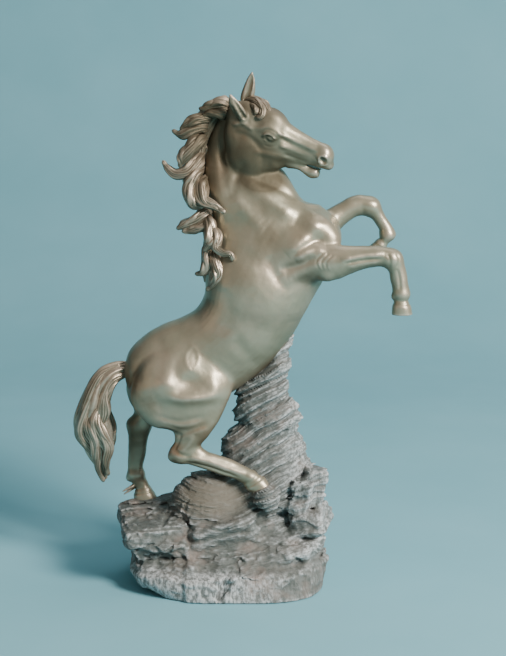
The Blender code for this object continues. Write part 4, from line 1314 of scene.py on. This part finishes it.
def upright(points):
    """1 where the fine strokes stand upright, on the lip and on the column at the right."""
    x, _, z = points.T
    lip = np.clip((23 + 0.04 * x - z) / 5, 0, 1)
    column = np.clip((x - 34) / 6, 0, 1) * np.clip((z - 48) / 10, 0, 1)
    return np.maximum(0.72 * lip, 0.5 * column)


def rock_relief(points):
    """How far the rock stands out of its smooth form at each point, in mm."""
    level = bedding(points)
    strong = bedded(points)
    drawn = np.stack([points[:, 0] * 0.28, points[:, 1] * 0.28, level], 1)
    patchy = np.clip(0.75 + 0.6 * noise(points, 24, 303), 0.2, 1.3) * strong
    height = patchy * (4.4 * ledges(level, 8.4, 310) + 1.9 * ledges(level + 2.0, 3.3, 311))
    height += strong * (0.9 * noise(drawn, 3.8, 320) + 0.22 * noise(drawn, 1.9, 321))
    warped = points + 3.0 * np.stack([noise(points, 15, 340 + k) for k in range(3)], 1)
    face, edge = broken_faces(warped * (1, 1, 1.35), 23.0, 350)
    small_face, small_edge = broken_faces(warped * (1, 1, 1.2), 9.5, 351)
    blunt = (1.25 - 0.95 * strong) * (1 - 0.45 * flowing(points))
    height += blunt * 2.6 * face * np.clip(0.4 + edge * 5, 0, 1)
    height += blunt * 1.1 * small_face * np.clip(0.3 + small_edge * 4, 0, 1)
    height += 1.2 * noise(points, 21, 330) + 0.5 * noise(points, 8, 331) + 0.35 * noise(points, 3, 332)
    height *= (1 - 0.62 * dome(points)) * np.clip(0.35 + points[:, 2] / 36, 0.35, 1)
    return height + big_steps(points) + 0.8


def rock_field():
    field = Field(*ROCK_SPACE, ROCK_VOXEL, ROCK_REACH)
    field.add_mesh(*tube(rock_rings(ROCK_BASE)), 0.5)
    field.add_mesh(*tube(rock_rings(ROCK_PILLAR)), 6.0)
    field.add_ball((-24, -6, 56), (28, 24, 27.5), 9.0)  # dome behind the right cannon
    field.add_ball((20, -27, 69), (9, 9, 9), 2.5)  # the right hind hoof is sunk in this
    for centre, half, turn, rounding, blend in ROCK_BLOCKS:
        field.add_block(centre, half, rounding, blend, turn)
    field.add_ball((-12, -63, 12), (6, 9, 14), 3.0, (0, 24, 0), remove=True)  # notch in the front edge
    near = np.abs(field.values) < DEEPEST_RELIEF
    points = (np.argwhere(near) + field.first) * field.voxel
    field.values[near] -= rock_relief(points).astype(np.float32)
    for cracks, side in ((FRONT_CRACKS, RIGHT), (BACK_CRACKS, LEFT)):
        for line, width, depth in cracks:
            field.crack(line, width * CRACK_WIDTH, depth * CRACK_DEPTH, side)
    z = (np.arange(field.values.shape[2]) + field.first[2]) * field.voxel
    field.values = np.maximum(field.values, (ROCK_FOOT - z).astype(np.float32))
    return field


def make_rocks(material):
    points, quads = rock_field().surface()
    normals = normals_of(points, quads)
    x, _, z = points.T
    # Dry-brush and painted light: low faces turned front and right, and the right side's right faces, get
    # paler.
    drybrush_and_painted_light = 1.5 * np.clip((23 - z) / 6, 0, 1) * np.clip(0.4 - normals[:, 1] + normals[:, 0] * 0.5, 0, 1)
    drybrush_and_painted_light *= np.clip((36 - x) / 44, 0, 1)
    right_side = np.clip((x - 18) / 26, 0, 1) * np.clip((z - 20) / 12, 0, 1)
    drybrush_and_painted_light += 0.65 * right_side * np.clip(normals[:, 0] + 0.5, 0, 1)
    values = {
        "relief": relief(points, quads, (2, 7)),
        "layer": bedding(points),
        "bedded": np.maximum(bedded(points), 0.7 * flowing(points)),
        "upright": upright(points),
        "drybrush_and_painted_light": np.clip(drybrush_and_painted_light, 0, 1),
        "warm": dome(points),
    }
    upper = bedding(points[quads].mean(axis=1)) > PILLAR_START
    for name, chosen in (("rock_pillar", upper), ("rock_base", ~upper)):
        shape = cut_out(points, quads, chosen, values, normals)
        finish_piece(mesh_object(name + "_stone", *shape), (name,), material)


# ---------------------------------------------------------------------------
# Finishes
# ---------------------------------------------------------------------------


class Nodes:
    """Short calls for building the node tree of a material or the world."""

    def __init__(self, owner, shader="Principled BSDF"):
        owner.use_nodes = True
        self.tree = owner.node_tree
        self.shader = self.tree.nodes[shader]

    def add(self, kind, **settings):
        node = self.tree.nodes.new(f"ShaderNode{kind}")
        for key, value in settings.items():
            if key in node.inputs.keys():
                node.inputs[key].default_value = value
            else:
                setattr(node, key, value)
        return node

    def feed(self, target, value):
        """Gives an input another node's output, a colour or a number."""
        if isinstance(value, bpy.types.NodeSocket):
            self.tree.links.new(value, target)
        elif isinstance(value, tuple):
            target.default_value = (*value, 1.0)
        else:
            target.default_value = value

    def shade(self, key, value):
        self.feed(self.shader.inputs[key], value)

    def place(self, kind="Object"):
        return self.add("TexCoord").outputs[kind]

    def attribute(self, name):
        return self.add("Attribute", attribute_name=name).outputs["Fac"]

    def noise(self, scale, detail=4.0, roughness=0.55, distortion=0.0, at=None):
        node = self.add("TexNoise", Scale=scale, Detail=detail, Roughness=roughness, Distortion=distortion)
        self.feed(node.inputs["Vector"], self.place() if at is None else at)
        return node.outputs["Fac"]

    def ramp(self, source, stops, smooth=False):
        node = self.add("ValToRGB")
        node.color_ramp.interpolation = "EASE" if smooth else "LINEAR"
        points = node.color_ramp.elements
        while len(points) < len(stops):
            points.new(0.5)
        for point, (position, value) in zip(points, stops):
            point.position = position
            point.color = (*value, 1.0) if isinstance(value, tuple) else (value, value, value, 1.0)
        self.feed(node.inputs["Fac"], source)
        return node.outputs["Color"]

    def blend(self, attribute, first, second):
        """The first value where the attribute is 0, the second where it is 1."""
        node = self.add("Mix", data_type="FLOAT")
        for key, value in ((0, self.attribute(attribute)), (2, first), (3, second)):
            self.feed(node.inputs[key], value)
        return node.outputs[0]

    def mix(self, factor, first, second):
        """Two colours mixed."""
        node = self.add("Mix", data_type="RGBA")
        for key, value in ((0, factor), (6, first), (7, second)):
            self.feed(node.inputs[key], value)
        return node.outputs[2]

    def math(self, operation, *values):
        node = self.add("Math", operation=operation)
        for target, value in zip(node.inputs, values):
            self.feed(target, value)
        return node.outputs[0]

    def times(self, first, second):
        return self.math("MULTIPLY", first, second)

    def plus(self, first, second):
        return self.math("ADD", first, second)

    def standing_out(self, low, high):
        """0 where the surface lies low by that many millimetres, 1 where it stands out."""
        node = self.add("MapRange", **{"From Min": low, "From Max": high})
        self.feed(node.inputs["Value"], self.attribute("relief"))
        return node.outputs["Result"]

    def bump(self, height, strength, distance):
        node = self.add("Bump", Strength=strength, Distance=distance)
        self.feed(node.inputs["Height"], height)
        self.shade("Normal", node.outputs["Normal"])


# The bronze's patina, from olive to grey, and the colours laid over it: copper, and a dark wash that also
# paints shade.
PATINA = ((0.270, 0.250, 0.172), (0.385, 0.338, 0.245), (0.455, 0.375, 0.280), (0.305, 0.298, 0.222))
COPPER = (0.235, 0.145, 0.085)
DARK_WASH_AND_SHADE = (0.088, 0.070, 0.042)
# The rock from dark to light, and the colours laid over it.
ROCK_STOPS = ((0.3, (0.056, 0.068, 0.061)), (0.5, (0.104, 0.115, 0.105)), (0.7, (0.145, 0.136, 0.118)))
ROCK_HOLLOW = (0.030, 0.037, 0.037)
ROCK_LINE = (0.056, 0.066, 0.062)
ROCK_RIDGE = (0.51, 0.535, 0.55)
ROCK_COPPER = (0.33, 0.25, 0.215)
ROCK_BROWN = (0.165, 0.142, 0.108)


def bronze(name, low, high, hollow_colour, shade=1.0, rubbed_colour=(0.68, 0.555, 0.455)):
    """Pewter-brown patina: dark olive in the hollows, rubbed warm copper on what stands out."""
    material = bpy.data.materials.new(name)
    nodes = Nodes(material)
    broad = nodes.noise(24.0, 3.0)
    cloudy = nodes.noise(75.0, 5.0, 0.6, 0.4)
    olive, pewter, tan, grey = (tuple(shade * part for part in colour) for colour in PATINA)
    patina = nodes.ramp(broad, ((0.32, olive), (0.5, pewter), (0.68, tan)))
    patina = nodes.mix(nodes.ramp(cloudy, ((0.42, 0.0), (0.7, 0.5))), patina, grey)
    warm = nodes.ramp(nodes.attribute("warm"), ((0.3, 0.0), (1.0, 0.85)))
    warm = nodes.times(warm, nodes.ramp(cloudy, ((0.35, 0.5), (0.6, 1.0))))
    patina = nodes.mix(warm, patina, COPPER)
    height = nodes.standing_out(low, high)
    hollow = nodes.ramp(height, ((0.0, 1.0), (0.47, 0.0)), smooth=True)
    patina = nodes.mix(hollow, patina, hollow_colour)
    rubbed = nodes.ramp(height, ((0.52, 0.0), (0.85, 1.0)), smooth=True)
    worn = nodes.ramp(nodes.noise(160.0, 4.0, 0.6), ((0.3, 0.35), (0.62, 1.0)))
    patina = nodes.mix(nodes.times(rubbed, worn), patina, rubbed_colour)
    # The dark attribute is a random wash plus painted shade; it darkens the colour and makes it rougher.
    wash_and_shade = nodes.times(nodes.attribute("dark"), 0.90)
    nodes.shade("Base Color", nodes.mix(wash_and_shade, patina, DARK_WASH_AND_SHADE))
    nodes.shade("Metallic", 0.62)
    rough = nodes.ramp(nodes.plus(cloudy, nodes.times(hollow, 0.4)), ((0.3, 0.29), (0.9, 0.50)))
    nodes.shade("Roughness", nodes.plus(rough, nodes.times(wash_and_shade, 0.28)))
    fine = nodes.noise(900.0, 4.0, 0.65)
    nodes.bump(nodes.plus(nodes.times(fine, 0.5), nodes.noise(240.0, 3.0)), 0.16, 0.0006)
    return material


def streaks(nodes, along, across):
    """Noise drawn out along the rock's layers; along and across are its cells in mm."""
    split = nodes.add("SeparateXYZ")
    nodes.feed(split.inputs[0], nodes.place())
    join = nodes.add("CombineXYZ")
    for axis in range(2):
        nodes.feed(join.inputs[axis], nodes.times(split.outputs[axis], 1.0 / (along * MM)))
    nodes.feed(join.inputs[2], nodes.times(nodes.attribute("layer"), 1.0 / across))
    return nodes.noise(1.0, 4.0, 0.62, at=join.outputs[0])


def scratches(nodes):
    """Fine short upright strokes, as left by a chisel."""
    squeeze = nodes.add("Mapping")
    squeeze.inputs["Scale"].default_value = (440.0, 440.0, 160.0)
    nodes.feed(squeeze.inputs["Vector"], nodes.place())
    return nodes.noise(1.0, 5.0, 0.68, 0.5, at=squeeze.outputs[0])


def stone():
    """Dark grey-green cast rock, pale dry-brushed ridges, a little copper; painted light on faces turned
    front and right.
    """
    material = bpy.data.materials.new("rock")
    nodes = Nodes(material)
    base = nodes.ramp(nodes.noise(32.0, 4.0, 0.6), ROCK_STOPS)
    height = nodes.standing_out(-0.85, 0.85)
    hollow = nodes.ramp(height, ((0.0, 0.9), (0.44, 0.0)), smooth=True)
    base = nodes.mix(hollow, base, ROCK_HOLLOW)
    grit = nodes.noise(420.0, 5.0, 0.7)
    lines = nodes.blend("bedded", nodes.noise(190.0, 5.0, 0.68, 0.6), streaks(nodes, 8.0, 1.8))
    lines = nodes.blend("upright", lines, scratches(nodes))
    # This attribute is dry-brushing and painted light: faces turned to the front and right get more of the
    # pale colour.
    drybrush_and_painted_light = nodes.attribute("drybrush_and_painted_light")
    dark_lines = nodes.ramp(lines, ((0.36, 1.0), (0.49, 0.0)))
    dark_lines = nodes.times(dark_lines, nodes.ramp(drybrush_and_painted_light, ((0.0, 0.7), (1.0, 0.3))))
    base = nodes.mix(dark_lines, base, ROCK_LINE)
    raised = nodes.ramp(height, ((0.42, 0.07), (0.78, 0.9)), smooth=True)
    raised = nodes.plus(raised, nodes.times(drybrush_and_painted_light, 1.3))
    ridge = nodes.times(raised, nodes.ramp(lines, ((0.44, 0.16), (0.58, 1.0))))
    ridge = nodes.times(ridge, nodes.ramp(grit, ((0.36, 0.3), (0.6, 1.0))))
    base = nodes.mix(ridge, base, ROCK_RIDGE)
    base = nodes.mix(nodes.ramp(nodes.noise(45.0, 3.0), ((0.56, 0.0), (0.75, 0.5))), base, ROCK_COPPER)
    nodes.shade("Base Color", nodes.mix(nodes.times(nodes.attribute("warm"), 0.8), base, ROCK_BROWN))
    nodes.shade("Roughness", nodes.ramp(grit, ((0.3, 0.62), (0.7, 0.85))))
    nodes.shade("Specular IOR Level", 0.4)
    nodes.bump(nodes.plus(nodes.times(lines, 1.6), nodes.times(grit, 0.5)), 0.7, 0.0010)
    return material


def steel():
    material = bpy.data.materials.new("steel")
    nodes = Nodes(material)
    grain = nodes.noise(500.0, 3.0)
    nodes.shade("Base Color", nodes.ramp(grain, ((0.3, (0.46, 0.47, 0.48)), (0.7, (0.60, 0.61, 0.62)))))
    nodes.shade("Roughness", nodes.ramp(grain, ((0.3, 0.26), (0.7, 0.4))))
    nodes.shade("Metallic", 1.0)
    nodes.bump(grain, 0.1, 0.0003)
    return material


def felt():
    material = bpy.data.materials.new("felt")
    nodes = Nodes(material)
    fibre = nodes.noise(1800.0, 6.0, 0.75, 1.2)
    colours = ((0.3, (0.015, 0.030, 0.022)), (0.7, (0.040, 0.066, 0.050)))
    nodes.shade("Base Color", nodes.ramp(fibre, colours))
    nodes.shade("Roughness", 0.97)
    nodes.bump(fibre, 0.6, 0.0008)
    return material


def dress_cad_nodes():
    """The steel and the felt keep their CAD shapes and get their finishes."""
    finishes = {"steel": steel(), "felt": felt()}
    for entry in frame["record"]["subparts"]:
        if entry["material_slot"] in finishes:
            piece = frame["nodes"][entry["node"]]
            piece.data.materials.clear()
            piece.data.materials.append(finishes[entry["material_slot"]])


# ---------------------------------------------------------------------------
# Stage, light and camera
# ---------------------------------------------------------------------------


def make_stage():
    """A pale floor that curves up into a backdrop."""
    width, front, depth, radius, height = 2.6, -2.3, 1.5, 0.8, 2.4
    bend = depth - radius
    profile = [(front, 0.0), (bend, 0.0)]
    for angle in np.linspace(0.1, math.pi / 2, 14):
        profile.append((bend + radius * math.sin(angle), radius - radius * math.cos(angle)))
    profile.append((depth, height))
    points = [(side * width, y, z) for y, z in profile for side in (-1, 1)]
    faces = [(2 * i, 2 * i + 1, 2 * i + 3, 2 * i + 2) for i in range(len(profile) - 1)]
    mesh = bpy.data.meshes.new("floor")
    mesh.from_pydata(points, [], faces)
    mesh.shade_smooth()
    floor = bpy.data.objects.new("floor", mesh)
    bpy.context.scene.collection.objects.link(floor)
    material = bpy.data.materials.new("floor")
    nodes = Nodes(material)
    colours = ((0.3, (0.205, 0.488, 0.578)), (0.7, (0.236, 0.528, 0.622)))
    nodes.shade("Base Color", nodes.ramp(nodes.noise(6.0, 3.0), colours))
    nodes.shade("Roughness", 0.9)
    mesh.materials.append(material)


def make_world():
    """A sky that is bright at the upper right. The camera sees it plain and pale past the floor."""
    world = bpy.data.worlds.new("studio")
    nodes = Nodes(world, "Background")
    facing = nodes.add("VectorMath", operation="DOT_PRODUCT")
    nodes.feed(facing.inputs[0], nodes.place("Generated"))
    facing.inputs[1].default_value = Vector((0.80, -0.08, 0.60)).normalized()
    share = nodes.math("MULTIPLY_ADD", facing.outputs["Value"], 0.5, 0.5)
    sky = nodes.ramp(share, ((0.22, (0.045, 0.038, 0.028)), (0.92, (0.86, 0.88, 0.86))))
    seen = nodes.add("LightPath").outputs["Is Camera Ray"]
    nodes.shade("Color", nodes.mix(seen, sky, (0.80, 1.22, 1.30)))
    nodes.shade("Strength", 0.36)
    bpy.context.scene.world = world


LIT_POINT = Vector((0, 0, 0.2))


def area_light(name, place, size, power, colour):
    """A panel that faces the middle of the statue."""
    data = bpy.data.lights.new(name, "AREA")
    data.shape = "RECTANGLE"
    data.size, data.size_y = size
    data.energy = power
    data.color = colour
    light = bpy.data.objects.new(name, data)
    light.location = place
    light.rotation_mode = "QUATERNION"
    light.rotation_quaternion = (LIT_POINT - Vector(place)).to_track_quat("-Z", "Y")
    bpy.context.scene.collection.objects.link(light)


def make_lights():
    area_light("key", (1.40, -1.38, 1.20), (0.65, 0.65), 92, (1.0, 0.95, 0.88))
    area_light("fill", (-1.1, -0.7, 0.35), (0.8, 0.8), 1.2, (1.0, 0.80, 0.62))
    area_light("top", (0.25, 0.25, 1.3), (0.8, 0.6), 2.5, (0.97, 0.98, 1.0))


def make_camera():
    data = bpy.data.cameras.new("camera")
    data.lens = 84.9
    data.sensor_width = 36.0
    camera = bpy.data.objects.new("camera", data)
    camera.location = (0.00929, -1.13253, 0.39205)
    camera.rotation_euler = (math.radians(80.0), 0.0, 0.0)
    bpy.context.scene.collection.objects.link(camera)
    bpy.context.scene.camera = camera


make_camera()
make_world()
make_lights()
make_stage()
make_horse(bronze("bronze", -0.9, 0.9, (0.045, 0.048, 0.036)))
make_hair(bronze("bronze_hair", -0.5, 0.62, (0.030, 0.030, 0.022), 0.50, (0.50, 0.405, 0.315)))
make_rocks(stone())
dress_cad_nodes()
